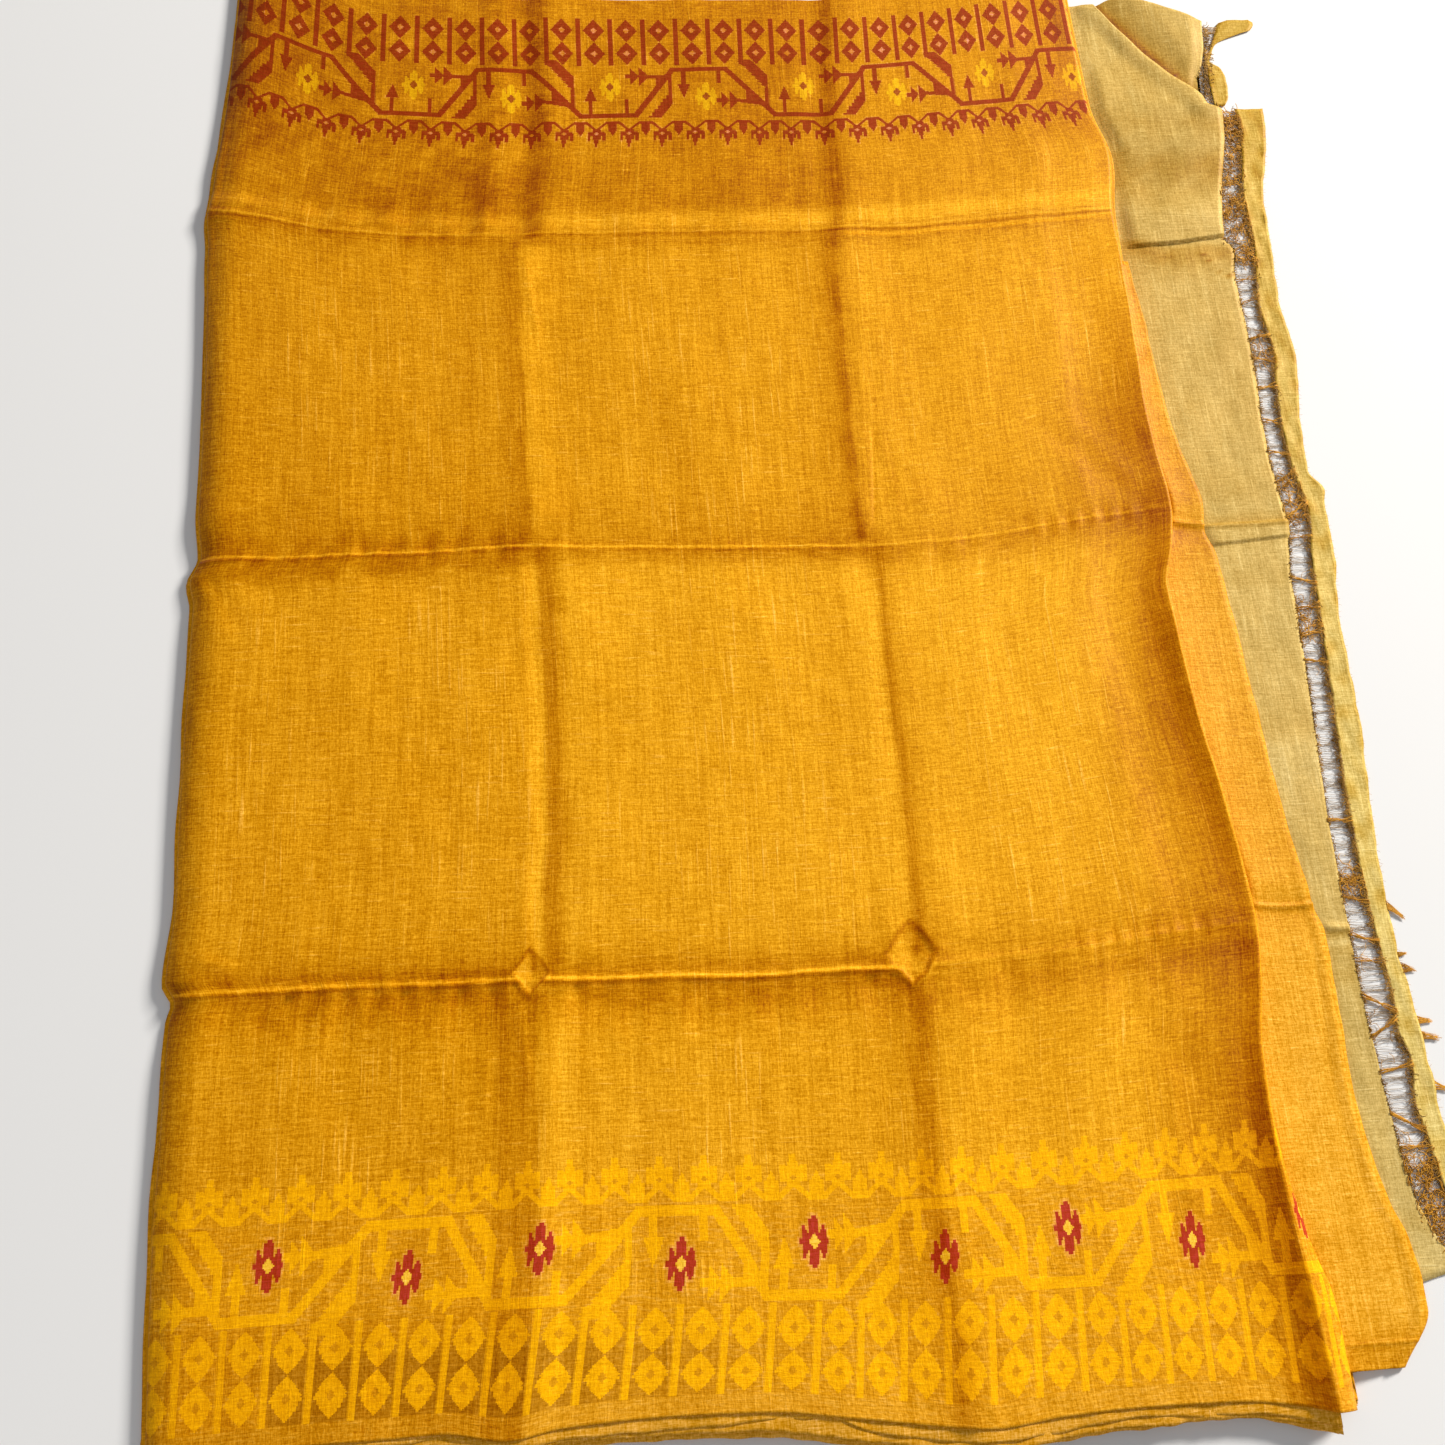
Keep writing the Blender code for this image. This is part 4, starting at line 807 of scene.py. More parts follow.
def border_chart(s, t, fat):
    """The border's figures for a place s, in bars along the cloth, and t, in mm from the selvedge:
    the main ones, the diamonds' middles, the petals, the flowers' middles, and the distances from
    the nearest diamond's middle."""
    p = PITCH
    x = (down((s - REPEAT * down(s / REPEAT)) * (p / CELL_X)) + 0.5) * CELL_X
    fx = (down((s - down(s)) * (p / CELL_X)) + 0.5) * CELL_X
    t = (down(t / CELL_T) + 0.5) * CELL_T
    bars = all_of((1.5 if fat else 2.0) - mag(fx - 0.10 * p), 27.5 - mag(t - 41.0))
    dx = mag(fx - 0.60 * p)
    dt = mag(mag(t - 41.0) - 13.6)
    diamonds = 9.6 - dx - dt * 0.70
    if fat:
        teeth = (t / 2.85 - down(t / 2.85)) * 1.5
        diamonds = all_of(10.5 - dx - dt * 0.60 - teeth, 13.2 - dx - dt * 1.05)
    hearts = all_of(1.0 - dx / 2.9 - dt / 3.6, 68.0 - t)
    near = rect(x, t, 0.80 * p, 73.5, 0.84 * p, 2.3)
    far = rect(x, t, 3.96 * p, 125.0, 0.88 * p, 2.3)
    rising = ((1.60 * p, 73.5), (3.12 * p, 125.0))
    falling = ((4.82 * p, 125.0), (5.97 * p, 73.5))
    vine = any_of(near, far, stroke(x, t, *rising, 3.3), stroke(x, t, *falling, 3.1))
    buds = any_of(
        rect(x, t, 0.30 * p, 83.0, 1.8, 9.5), arrow(t, x - 0.30 * p, 90.0, 106.5, 5.6),
        rect(x, t, 3.44 * p, 116.0, 1.8, 9.5), arrow(t, x - 3.44 * p, 108.5, 93.0, 5.6),
        rect(x, t, 1.38 * p, 81.5, 1.8, 8.5), rect(x, t, 4.55 * p, 116.0, 1.8, 8.5),
    )
    saw = (t / 3.8 - down(t / 3.8)) * 2.6
    leaf_a = lo(
        all_of(past(x, t, (1.94 * p, 63.0), (2.84 * p, 97.0)) - saw, t - 63.0, 98.0 - t, 2.94 * p - x),
        hi(-past(x, t, (2.42 * p, 63.0), (2.94 * p, 81.0)), t - 81.0),
    )
    leaf_b = lo(
        all_of(past(x, t, (5.16 * p, 127.5), (5.80 * p, 100.0)) - saw, 127.5 - t, t - 99.5, 5.95 * p - x),
        hi(-past(x, t, (5.58 * p, 127.5), (5.95 * p, 112.0)), 112.0 - t),
    )
    leaves = any_of(leaf_a, leaf_b, rect(x, t, 2.89 * p, 107.0, 1.7, 11.0),
                    rect(x, t, 5.89 * p, 91.0, 1.7, 10.0))
    sprig_b = any_of(
        rect(x, t, 4.62 * p, 81.5, 2.6, 2.2), arrow(x, t - 81.5, 4.68 * p, 4.96 * p, 9.6),
        arrow(x, t - 81.5, 4.94 * p, 5.26 * p, 11.0), rect(x, t, 5.5 * p, 81.5, 0.36 * p, 1.9),
        all_of(x - 5.45 * p, t - 80.0, -past(x, t, *falling)),
    )
    stalk = t - 109.5 - (x - 2.0 * p) * (4.5 / (0.95 * p))
    sprig_a = any_of(
        rect(x, t, 1.38 * p, 109.5, 2.6, 2.2), arrow(x, t - 109.5, 1.44 * p, 1.70 * p, 9.6),
        arrow(x, t - 109.5, 1.69 * p, 2.00 * p, 11.0), all_of(x - 1.8 * p, 2.95 * p - x, 1.9 - mag(stalk)),
        all_of(x - 2.21 * p, 3.0 - past(x, t, *rising), -stalk, t - 90.0),
    )
    d = mag(fx - 0.10 * p)
    d = lo(d, p - d)
    wave = hi(d - 0.20 * p, 0.0) * (8.0 / (0.30 * p)) + 132.6
    garland = any_of(1.6 - mag(t - wave), all_of(3.6 - d, t - 132.0, 141.5 - t),
                     arrow(t, fx - 0.10 * p, 140.0, 147.0, 3.6))
    palms = any_of(
        all_of(3.6 - dx, t - 139.5, 150.0 - t), all_of(2.4 - dx, t - 139.5, 153.5 - t),
        all_of(1.2 - dx, t - 139.5, 158.0 - t), all_of(1.4 - mag(dx - 6.4), t - 143.5, 151.5 - t),
        all_of(7.4 - dx, t - 142.0, 146.5 - t),
    )
    dots = all_of(1.9 - dx - mag(t - 144.0), t - 130.0)
    petals_a, eye_a = flower(x, t, 0.97 * p, 105.0)
    petals_b, eye_b = flower(x, t, 4.05 * p, 93.0)
    main = any_of(bars, diamonds, vine, buds, leaves, sprig_a, sprig_b, garland, palms)
    return lo(main + fat, 160.0 - t), hi(hearts, dots), hi(petals_a, petals_b), hi(eye_a, eye_b), dx, dt


# Materials
def new_material(name, colour, roughness, sheen, specular):
    made = bpy.data.materials.new(name)
    made.use_nodes = True
    made.diffuse_color = (*colour, 1.0)
    shader = made.node_tree.nodes["Principled BSDF"]
    shader.inputs["Base Color"].default_value = (*colour, 1.0)
    shader.inputs["Roughness"].default_value = roughness
    shader.inputs["Sheen Weight"].default_value = sheen
    shader.inputs["Sheen Roughness"].default_value = 0.45
    shader.inputs["Specular IOR Level"].default_value = specular
    shader.inputs["Specular Tint"].default_value = (*SHEEN_TINT, 1.0)
    shader.inputs["Sheen Tint"].default_value = (*SHEEN_TINT, 1.0)
    return made, made.node_tree, shader


def cloth_place(tree, layer="cloth"):
    node = tree.nodes.new("ShaderNodeUVMap")
    node.uv_map = layer
    return node.outputs["UV"]


def parts_of(tree, vector):
    node = tree.nodes.new("ShaderNodeSeparateXYZ")
    tree.links.new(vector, node.inputs[0])
    return Number(tree, node.outputs[0]), Number(tree, node.outputs[1])


def streaks(tree, vector, scale, detail=0.0, rough=0.5, seed=0.0):
    """Noise stretched along the threads: scale is the number of spots in a metre each way."""
    mapping = tree.nodes.new("ShaderNodeMapping")
    mapping.inputs["Scale"].default_value = (scale[0], scale[1], 1.0)
    mapping.inputs["Location"].default_value = (seed, seed * 1.7, seed * 0.3)
    tree.links.new(vector, mapping.inputs["Vector"])
    noise = tree.nodes.new("ShaderNodeTexNoise")
    noise.inputs["Scale"].default_value = 1.0
    noise.inputs["Detail"].default_value = detail
    noise.inputs["Roughness"].default_value = rough
    tree.links.new(mapping.outputs[0], noise.inputs["Vector"])
    return Number(tree, noise.outputs["Fac"])


def plug(tree, value, socket):
    """Join a number, another node's socket or a plain value to a socket."""
    if isinstance(value, Number):
        tree.links.new(value.socket, socket)
    elif isinstance(value, bpy.types.NodeSocket):
        tree.links.new(value, socket)
    else:
        socket.default_value = value


def mix_colour(tree, share, first, second):
    node = tree.nodes.new("ShaderNodeMix")
    node.data_type = "RGBA"
    plug(tree, share, node.inputs[0])
    for colour, socket in ((first, node.inputs[6]), (second, node.inputs[7])):
        plug(tree, (*colour, 1.0) if isinstance(colour, tuple) else colour, socket)
    return node.outputs[2]


def vector_sum(tree, operation, *values):
    """A vector node's result, for shares, colours and a value for each channel."""
    node = tree.nodes.new("ShaderNodeVectorMath")
    node.operation = operation
    for value, socket in zip(values, node.inputs):
        plug(tree, value, socket)
    return node.outputs[0]


def colour_with_weave_and_shade(tree, shader, colour, weave, plain, weave_depth, depth):
    """The colour paler or deeper with the weave, deeper with painted shade in a crease, and painted warmer
    where the cloth turns from the light.
    """
    shade, warmth = parts_of(tree, cloth_place(tree, "shade"))
    kept = vector_sum(tree, "MULTIPLY_ADD", weave * plain, weave_depth, (1.0, 1.0, 1.0))
    kept = vector_sum(tree, "MULTIPLY_ADD", warmth, SHADE_WARMTH, kept)
    kept = vector_sum(tree, "MULTIPLY_ADD", shade * plain, [-0.5 * part for part in depth], kept)
    kept = vector_sum(tree, "MAXIMUM", kept, (0.05, 0.05, 0.05))
    colour = vector_sum(tree, "MULTIPLY", vector_sum(tree, "MULTIPLY", colour, kept), kept)
    tree.links.new(colour, shader.inputs["Base Color"])


def silk_weave(tree, place, pale=False):
    """Threads and slubs both ways. Gives how pale the weave is, its height, and the slubs' share."""
    weft = streaks(tree, place, (330.0, 1300.0), 1.0, 0.6, 1.3)
    warp = streaks(tree, place, (1300.0, 300.0), 1.0, 0.6, 7.1)
    weft_line = streaks(tree, place, (48.0, 860.0), seed=3.1)
    warp_line = streaks(tree, place, (860.0, 32.0), seed=5.5)
    weft_slub = over(streaks(tree, place, (52.0, 640.0), seed=3.7), 0.68, 0.82)
    if pale:
        warp_slub = over(streaks(tree, place, (420.0, 40.0), seed=9.9), 0.64, 0.84) * 0.6
    else:
        cluster = over(streaks(tree, place, (17.0, 3.0), 1.0, seed=8.0), 0.42, 0.60)
        warp_slub = over(streaks(tree, place, (560.0, 22.0), seed=9.2), 0.65, 0.82)
        warp_slub = warp_slub * (cluster * 0.85 + 0.15) * 0.85
    slubs = hi(weft_slub * 0.60, warp_slub)
    stripes = streaks(tree, place, (150.0, 1.6), 2.0, 0.6, 2.6)
    cloud = streaks(tree, place, (10.0, 7.0), 3.0, 0.55, 6.0)
    light = slubs * 0.34
    for part, amount in ((weft, 1.5), (warp, 1.5), (weft_line, 0.85), (warp_line, 0.85),
                         (stripes, 0.45), (cloud, 0.50)):
        light = light + (part - 0.5) * amount
    return light, weft * 0.6 + warp * 0.6 + slubs * 0.5, slubs


def bump_from(tree, shader, height, distance, strength):
    node = tree.nodes.new("ShaderNodeBump")
    node.inputs["Strength"].default_value = strength
    node.inputs["Distance"].default_value = distance
    tree.links.new(height.socket, node.inputs["Height"])
    tree.links.new(node.outputs[0], shader.inputs["Normal"])


def gold_ground(tree, place, base):
    light, height, slubs = silk_weave(tree, place)
    return mix_colour(tree, slubs * 0.18, base, GOLD_LIGHT), light, height


def make_gold_silk(name, base):
    made, tree, shader = new_material(name, base, 0.50, 0.08, 0.15)
    colour, light, height = gold_ground(tree, cloth_place(tree), base)
    colour_with_weave_and_shade(tree, shader, colour, light, 1.0, GOLD_WEAVE, GOLD_DEPTH)
    bump_from(tree, shader, height, 0.00035, 0.5)
    return made


def yellow_ground(tree, place, colour, t, dx, dt):
    """The lower border's ground: richer, with a glint, and painted shade between the rows' diamonds, where
    the layer beneath shows through.
    """
    glint = over(streaks(tree, place, (170.0, 620.0), seed=19.0), 0.52, 0.72)
    in_rows = under(t, 150.0, 120.0)
    colour = mix_colour(tree, in_rows * 0.7, colour, YELLOW_GROUND)
    colour = mix_colour(tree, glint * in_rows * 0.30, colour, YELLOW_GLINT)
    along = parts_of(tree, place)[0]
    # painted shade of the layer beneath, between the rows' diamonds
    shade_beneath = over(along, 0.070, 0.078) * (under(along, 0.40, 0.26) * 0.85 + 0.12)
    gaps = all_of(over(t, 12.0, 13.0), under(t, 62.0, 46.0), over(dx + dt * 0.4, 3.0, 6.0))
    colour = mix_colour(tree, gaps * shade_beneath * 0.70, colour, ROW_GAP_SHADE)
    return mix_colour(tree, under(t, 12.8, 12.2) * 0.35, colour, HEM_TINT)


def make_border_silk(name, look):
    """Gold silk with a woven border: red figures at the upper selvedge, yellow at the lower."""
    made, tree, shader = new_material(name, GOLD, 0.50, 0.08, 0.15)
    place = cloth_place(tree)
    colour, light, height = gold_ground(tree, place, GOLD)
    s, t = parts_of(tree, cloth_place(tree, "chart"))
    main, hearts, petals, eye, dx, dt = border_chart(s, t, look.fat)
    red = look is RED_BORDER
    if red:
        colour = mix_colour(tree, over(main, -1.25, -0.6) * 0.40, colour, RED_HALO)
    else:
        colour = yellow_ground(tree, place, colour, t, dx, dt)
    inside = over(main, -0.05, 0.05)
    worn = over(streaks(tree, place, (180.0, 900.0), 1.0, 0.6, 12.0), 0.30, 0.62) * look.wear + look.share
    colour = mix_colour(tree, inside * worn, colour, look.figures)
    colour = mix_colour(tree, over(hearts, -0.02, 0.02) * look.heart_share, colour, look.hearts)
    if not red:
        colour = mix_colour(tree, over(petals, -1.5, -0.9) * 0.30, colour, FLOWER_HALO)
    petals, eye = over(petals, -0.05, 0.05), over(eye, -0.02, 0.02)
    colour = mix_colour(tree, petals * 0.95, colour, look.petals)
    colour = mix_colour(tree, eye * 0.95, colour, look.eye)
    figured = any_of(inside, petals, eye)
    colour_with_weave_and_shade(tree, shader, colour, light, 1.0 - figured * 0.40, GOLD_WEAVE, GOLD_DEPTH)
    tree.links.new((figured * 0.14 + 0.50).socket, shader.inputs["Roughness"])
    bump_from(tree, shader, height, 0.00035, 0.6)
    return made


def make_pale_silk(name, base, second, stripe):
    """Thin open silk with blotches of a second colour and paler lines."""
    made, tree, shader = new_material(name, base, 0.55, 0.12, 0.3)
    place = cloth_place(tree)
    light, height, slubs = silk_weave(tree, place, pale=True)
    blotch = over(streaks(tree, place, (16.0, 7.0), 3.0, 0.6, 14.0), 0.40, 0.68)
    lines = over(streaks(tree, place, (160.0, 16.0), 2.0, 0.5, 16.0), 0.56, 0.70)
    colour = mix_colour(tree, blotch * 0.7, base, second)
    colour = mix_colour(tree, lines * stripe * 0.5, colour, PALE_LIGHT)
    colour = mix_colour(tree, slubs * 0.35, colour, PALE_LIGHT)
    colour_with_weave_and_shade(tree, shader, colour, light, 1.0, PALE_WEAVE, PALE_DEPTH)
    bump_from(tree, shader, height, 0.00030, 0.5)
    return made


def make_thread(name, first, second):
    made, tree, shader = new_material(name, first, 0.62, 0.1, 0.3)
    place = cloth_place(tree)
    patch = over(streaks(tree, place, (90.0, 60.0), 2.0, 0.5, 2.0), 0.38, 0.62)
    tree.links.new(mix_colour(tree, patch, first, second), shader.inputs["Base Color"])
    bump_from(tree, shader, streaks(tree, place, (2500.0, 300.0), 1.0, 0.5, 5.0), 0.0001, 0.4)
    return made


FOLD_SILK = make_gold_silk("folded_silk", GOLD)
UPPER_SILK = make_border_silk("red_border_silk", RED_BORDER)
LOWER_SILK = make_border_silk("yellow_border_silk", YELLOW_BORDER)
HEM_SILK = make_gold_silk("hem_silk", (0.700, 0.320, 0.022))
STRIP_SILK = make_gold_silk("strip_silk", (0.705, 0.312, 0.012))
PALE_SILK = make_pale_silk("pale_silk", (0.560, 0.362, 0.090), (0.500, 0.345, 0.096), 0.5)
# a darker copy of the pale silk: painted shade for the flap behind the slanting pleat
SHADED_CORNER_SILK = make_pale_silk("shaded_corner_silk", (0.500, 0.310, 0.066), (0.400, 0.235, 0.040), 0.4)
BAND_SILK = make_pale_silk("band_silk", (0.700, 0.530, 0.170), (0.620, 0.450, 0.120), 0.5)
WARP = make_thread("warp_thread", (0.420, 0.300, 0.180), (0.300, 0.190, 0.090))
TUFT = make_thread("tuft_thread", (0.680, 0.330, 0.035), (0.420, 0.180, 0.018))
FRAY = make_thread("frayed_thread", (0.200, 0.095, 0.018), (0.480, 0.250, 0.045))


# The top stretch
def chart_place(u, v):
    """The place in the borders' chart: bars along the cloth and mm from the selvedge."""
    places = []
    for rows in (LOWER_CHART, UPPER_CHART):
        us, bars = [row.u for row in rows], [row.bar for row in rows]
        first, last = [(bars[i + 1] - bars[i]) / (us[i + 1] - us[i]) for i in (0, -2)]
        beyond = np.minimum(u - us[0], 0.0) * first + np.maximum(u - us[-1], 0.0) * last
        places.append(np.interp(u, us, bars) + beyond)
    above = v > CHARTS_MEET
    t = np.where(above, (CLOTH_WIDTH - v) * 1000 - UPPER_MARGIN, v * 1000)
    lean = np.interp(u, *LEAN_LOW) * np.clip(LEAN_FROM - t, 0, 100)
    lean = lean - np.interp(u, *LEAN_HIGH) * np.clip(t - LEAN_FROM, 0, 70)
    return np.stack([np.where(above, places[1], places[0] + lean), t], axis=-1)


def relief_shade_warmth(points):
    """How far a place of a surface turns from the main light, where its colour is painted warmer as painted
    shade.
    """
    normal = np.cross(np.gradient(points, axis=1), np.gradient(points, axis=0))
    normal /= np.maximum(np.linalg.norm(normal, axis=2, keepdims=True), 1e-12)
    toward = np.array(KEY_PLACE) / np.linalg.norm(KEY_PLACE)
    light = 0.45 + 0.55 * np.maximum(0.0, normal @ toward) / toward[2]
    return np.clip(1 - light, 0.0, 0.5)


def make_top_cloth():
    marks_u = [(0.0, 0.004, 0.0012), (PANEL_LENGTH, 0.010, 0.0016)]
    marks_u += [(fold, 0.008, 0.0011) for fold in LENGTH_FOLDS]
    marks_u += [(row.u, row.half_u + 0.002, 0.0017) for row in PINCHES]
    marks_v = [(0.0, 0.002, 0.0016), (CLOTH_WIDTH, 0.002, 0.0016)]
    marks_v += [(fold, 0.006, 0.0007) for fold in CROSS_FOLDS]
    marks_v += [(row.v, row.half_v + 0.002, 0.0015) for row in PINCHES]
    us = graded(0.0, PANEL_LENGTH, 0.0042, marks_u)
    vs = graded(0.0, CLOTH_WIDTH, 0.0050, marks_v)
    x, y = plan_grid(us, vs)
    y = y + column(HEM_LINE, "shift", us) * before(vs, 0.050, 0.050)[:, None]
    u, v = np.meshgrid(us, vs)
    points = np.stack([x, y, top_height(u, v)], axis=2)
    shade = fold_shade(u, v)
    # the face of the lip, over and down to the strip
    crest = points[:, -1]
    width = column(LIP, "face_width", vs)
    fall = crest[:, 2] - column(LIP, "face_end", vs)
    face = []
    for turn in 0.5 * math.pi * np.array(LIP_FACE_STOPS):
        drop = fall * (0.55 * (1 - math.cos(turn)) + 0.45 * math.sin(turn))
        face.append(crest + np.stack([width * math.sin(turn), 0 * drop, -drop], axis=1))
    points = np.concatenate([points, np.stack(face, axis=1)], axis=1)
    steps = np.linalg.norm(np.diff(points[:, len(us) - 1:], axis=1), axis=2)
    u = np.concatenate([u, PANEL_LENGTH + np.cumsum(steps, axis=1)], axis=1)
    v = np.repeat(vs[:, None], u.shape[1], axis=1)
    # the face of the lip gets a little painted shade, and the warmth is painted shade where the relief turns
    # from the main light
    shade = np.pad(shade, ((0, 0), (0, len(face))), constant_values=0.06)
    warmth = relief_shade_warmth(points) * after(u, 0.012, 0.03)
    layers = {"cloth": np.stack([u, v], axis=2), "shade": np.stack([shade, warmth], axis=2),
              "chart": chart_place(u, v)}
    points, layers = with_rims(points, layers, 0.004, 0.0007, "bt")
    # the left-hand fold turns under
    under = [points[:, 0] + (out, 0.0, -fall) for out, fall in LEFT_UNDER[::-1]]
    points = np.concatenate([np.stack(under, axis=1), points], axis=1)
    layers = {name: np.concatenate([field[:, :1]] * len(under) + [field], axis=1)
              for name, field in layers.items()}
    made = add_sheet("top_cloth", points, layers, FOLD_SILK)
    across = layers["cloth"][:, :, 1]
    middle = 0.5 * (across[1:, 1:] + across[:-1, :-1]).ravel()
    add_finish(made, LOWER_SILK, middle < LOWER_BORDER_ENDS)
    add_finish(made, UPPER_SILK, middle > UPPER_BORDER_STARTS)
    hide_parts("top_stretch")


# The layers below
V_FINE = np.linspace(0.0, CLOTH_WIDTH, 500)
LIP_Y = column(PLAN, "y_lip", V_FINE)
FOOT_X = column(LIP, "x", V_FINE) + column(LIP, "face_width", V_FINE)
FOOT_Z = column(LIP, "face_end", V_FINE)


def foot_x(y):
    """Where the face of the lip ends, at a place y of the plan."""
    return np.interp(y, LIP_Y, FOOT_X)


def strip_shows(y, after_low=0.0, before_high=0.0):
    return (y >= GOLD_STRIP[0].y + after_low) & (y <= GOLD_STRIP[-1].y - before_high)


def ledge_end(y):
    """Right-hand edge of the hidden layers."""
    bare = foot_x(y) + SEAT + BARE_LEDGE
    beside = np.maximum(column(GOLD_STRIP, "x_outer", y) - STRIP_OVERHANG, bare)
    return np.where(strip_shows(y, 0.004, 0.002), beside, bare)


def strip_z(y, share):
    high = np.interp(y, LIP_Y, FOOT_Z) - STRIP_STEP
    return high + (STRIP_LIES_AT - high) * np.sin(0.5 * math.pi * np.clip(share, 0, 1))


def outline_of_layers():
    """Places round the hidden layers, x, y and the height of the stack, and the side each lies on."""
    us = np.linspace(0.0, PANEL_LENGTH, 150)
    vs = np.linspace(0.0, CLOTH_WIDTH, 230)
    x, y = plan_grid(us, np.array([0.0, CLOTH_WIDTH]))
    z = top_height(*np.meshgrid(us, (0.0, CLOTH_WIDTH))) - 0.0011
    lower = np.column_stack([x[0], y[0] + 0.0012, z[0]])[:-14]
    upper = np.column_stack([x[1], y[1] - 0.0050, z[1]])[-14:0:-1]
    ys = np.interp(vs, V_FINE, LIP_Y)
    outer, start = ledge_end(ys), foot_x(ys)
    full = np.where(strip_shows(ys), column(GOLD_STRIP, "x_outer", ys), outer + STRIP_OVERHANG)
    z = strip_z(ys, (outer - start) / np.maximum(full - start, 0.004)) - 0.0010
    right = np.column_stack([outer, ys, z])[:-1]
    right[0, 1] += 0.0012
    x, y = plan_grid(np.array([0.0]), vs)
    left = np.column_stack([x + 0.0006, y, top_height(np.zeros((1, 1)), vs[:, None]) - 0.0020])[:0:-1]
    sides = (lower, right, upper, left)
    return np.concatenate(sides), np.repeat(range(4), [len(side) for side in sides])


def hem_sheets():
    """The three plain hems that show below the border, each a little further out and lower."""
    us = np.linspace(0.004, PANEL_LENGTH, 260)
    x, y = plan_grid(us, np.array([0.0, 0.001]))
    hem = y[0] + column(HEM_LINE, "shift", us)
    top = top_height(us[None, :], np.zeros((1, 1)))[0]
    for number, (high, low, bend) in enumerate(SHEET_LEVELS):
        reach = column(HEM_SHEETS, ("first", "second", "third")[number], us)
        reach = reach + 0.0005 * ripples(us, 0 * us, 130 + number, 6, 0.012, 0.05)
        rows = []
        for share in SHEET_STOPS[::-1]:
            out = -0.016 + (reach + 0.016) * share
            swell = 0.00035 * ripples(us, share * 0.02 + 0 * us, 140 + number, 7, 0.02, 0.09)
            z = top * (high + (low - high) * share ** bend) - 0.0006 + swell * share
            rows.append(np.stack([x[0], hem - out, z], axis=1))
        sheet = np.stack(rows)
        cloth = np.stack([0 * sheet[:, :, 0] + us + 5.0 + number, sheet[:, :, 1]], axis=2)
        yield with_rims(sheet, {"cloth": cloth}, 0.0020, 0.0006, "b")


def make_lower_layers():
    rim, side = outline_of_layers()
    x, y, top = rim.T
    count = len(rim)
    sides = np.eye(4)[side]
    for _ in range(3):
        sides = (np.roll(sides, 1, axis=0) + sides + np.roll(sides, -1, axis=0)) / 3
    hem, _, selvedge, left = sides.T
    ahead = np.roll(rim, -2, axis=0) - np.roll(rim, 2, axis=0)
    out = np.stack([ahead[:, 1], -ahead[:, 0]])
    out /= np.linalg.norm(out, axis=0)
    run = np.cumsum(np.hypot(np.diff(x, prepend=x[0]), np.diff(y, prepend=y[0])))
    inward = sides @ (0.0060, 0.0010, 0.0045, 0.0022)
    rings = []

    def ring(distance, z, shift):
        rings.append(np.column_stack([
            x + out[0] * distance, y + out[1] * distance, z, run + shift, distance + 0 * run + shift * 0.7]))

    ring(-0.030, np.maximum(top - 0.0045, 0.0012), 0.0)
    ring(-0.012, np.maximum(top - 0.0012, 0.0010), 0.0)
    levels = [1.0, *(layer.level for layer in LAYER_EDGES), 0.0]
    for number, layer in enumerate(LAYER_EDGES):
        above, level, below = levels[number:number + 3]
        wave = HEM_WAVES * x / PANEL_LENGTH + 0.37 * number
        swell = 1 + HEM_WAVE_SHARE * np.sin(2 * math.pi * wave)
        swell = swell + 0.10 * ripples(x, 0 * x, 60 + number, 5, 0.03, 0.15)
        drift = 1 + 0.20 * ripples(x, y, 80 + number, 5, 0.06, 0.4)
        reach = hem * layer.hem * swell + (selvedge * layer.selvedge + left * layer.left) * drift
        half_up, half_down = 0.5 * (above - level) * top, 0.5 * (level - below) * top
        lift = 0.25 * half_up * ripples(x, y, 100 + number, 4, 0.03, 0.10)
        middle, shift = level * top, 0.37 * (number + 1)
        ring(reach - inward, middle + 0.92 * half_up, shift)
        ring(reach - 0.0006, middle + 0.50 * half_up + lift, shift)
        ring(reach, middle + 0.05 * half_up + lift, shift)
        ring(reach - 0.0005, middle - 0.45 * half_down + lift, shift)
        ring(reach - inward, np.maximum(middle - 0.92 * half_down, 0.0), shift)
    ring(reach - inward - 0.001, 0 * run, 4.0)
    points, places = np.split(np.concatenate(rings), [3], axis=1)
    first = np.arange(len(rings) - 1)[:, None] * count
    a = (first + np.arange(count)).ravel()
    b = (first + np.roll(np.arange(count), -1)).ravel()
    faces = np.stack([a, a + count, b + count, b], axis=1).tolist()
    faces.append(list(range(count)))
    faces.append(list(range(len(points) - 1, len(points) - count - 1, -1)))
    body_faces = len(faces)
    for sheet, layers in hem_sheets():
        faces += (np.array(grid_faces(*sheet.shape[:2])) + len(points)).tolist()
        points = np.concatenate([points, sheet.reshape(-1, 3)])
        places = np.concatenate([places, layers["cloth"].reshape(-1, 2)])
    made = add_mesh("lower_layers", points, faces, {"cloth": places}, FOLD_SILK)
    add_finish(made, HEM_SILK, slice(body_faces, None))
    for index in (body_faces - 2, body_faces - 1):
        made.data.polygons[index].use_smooth = False
    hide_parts("hidden_layers")


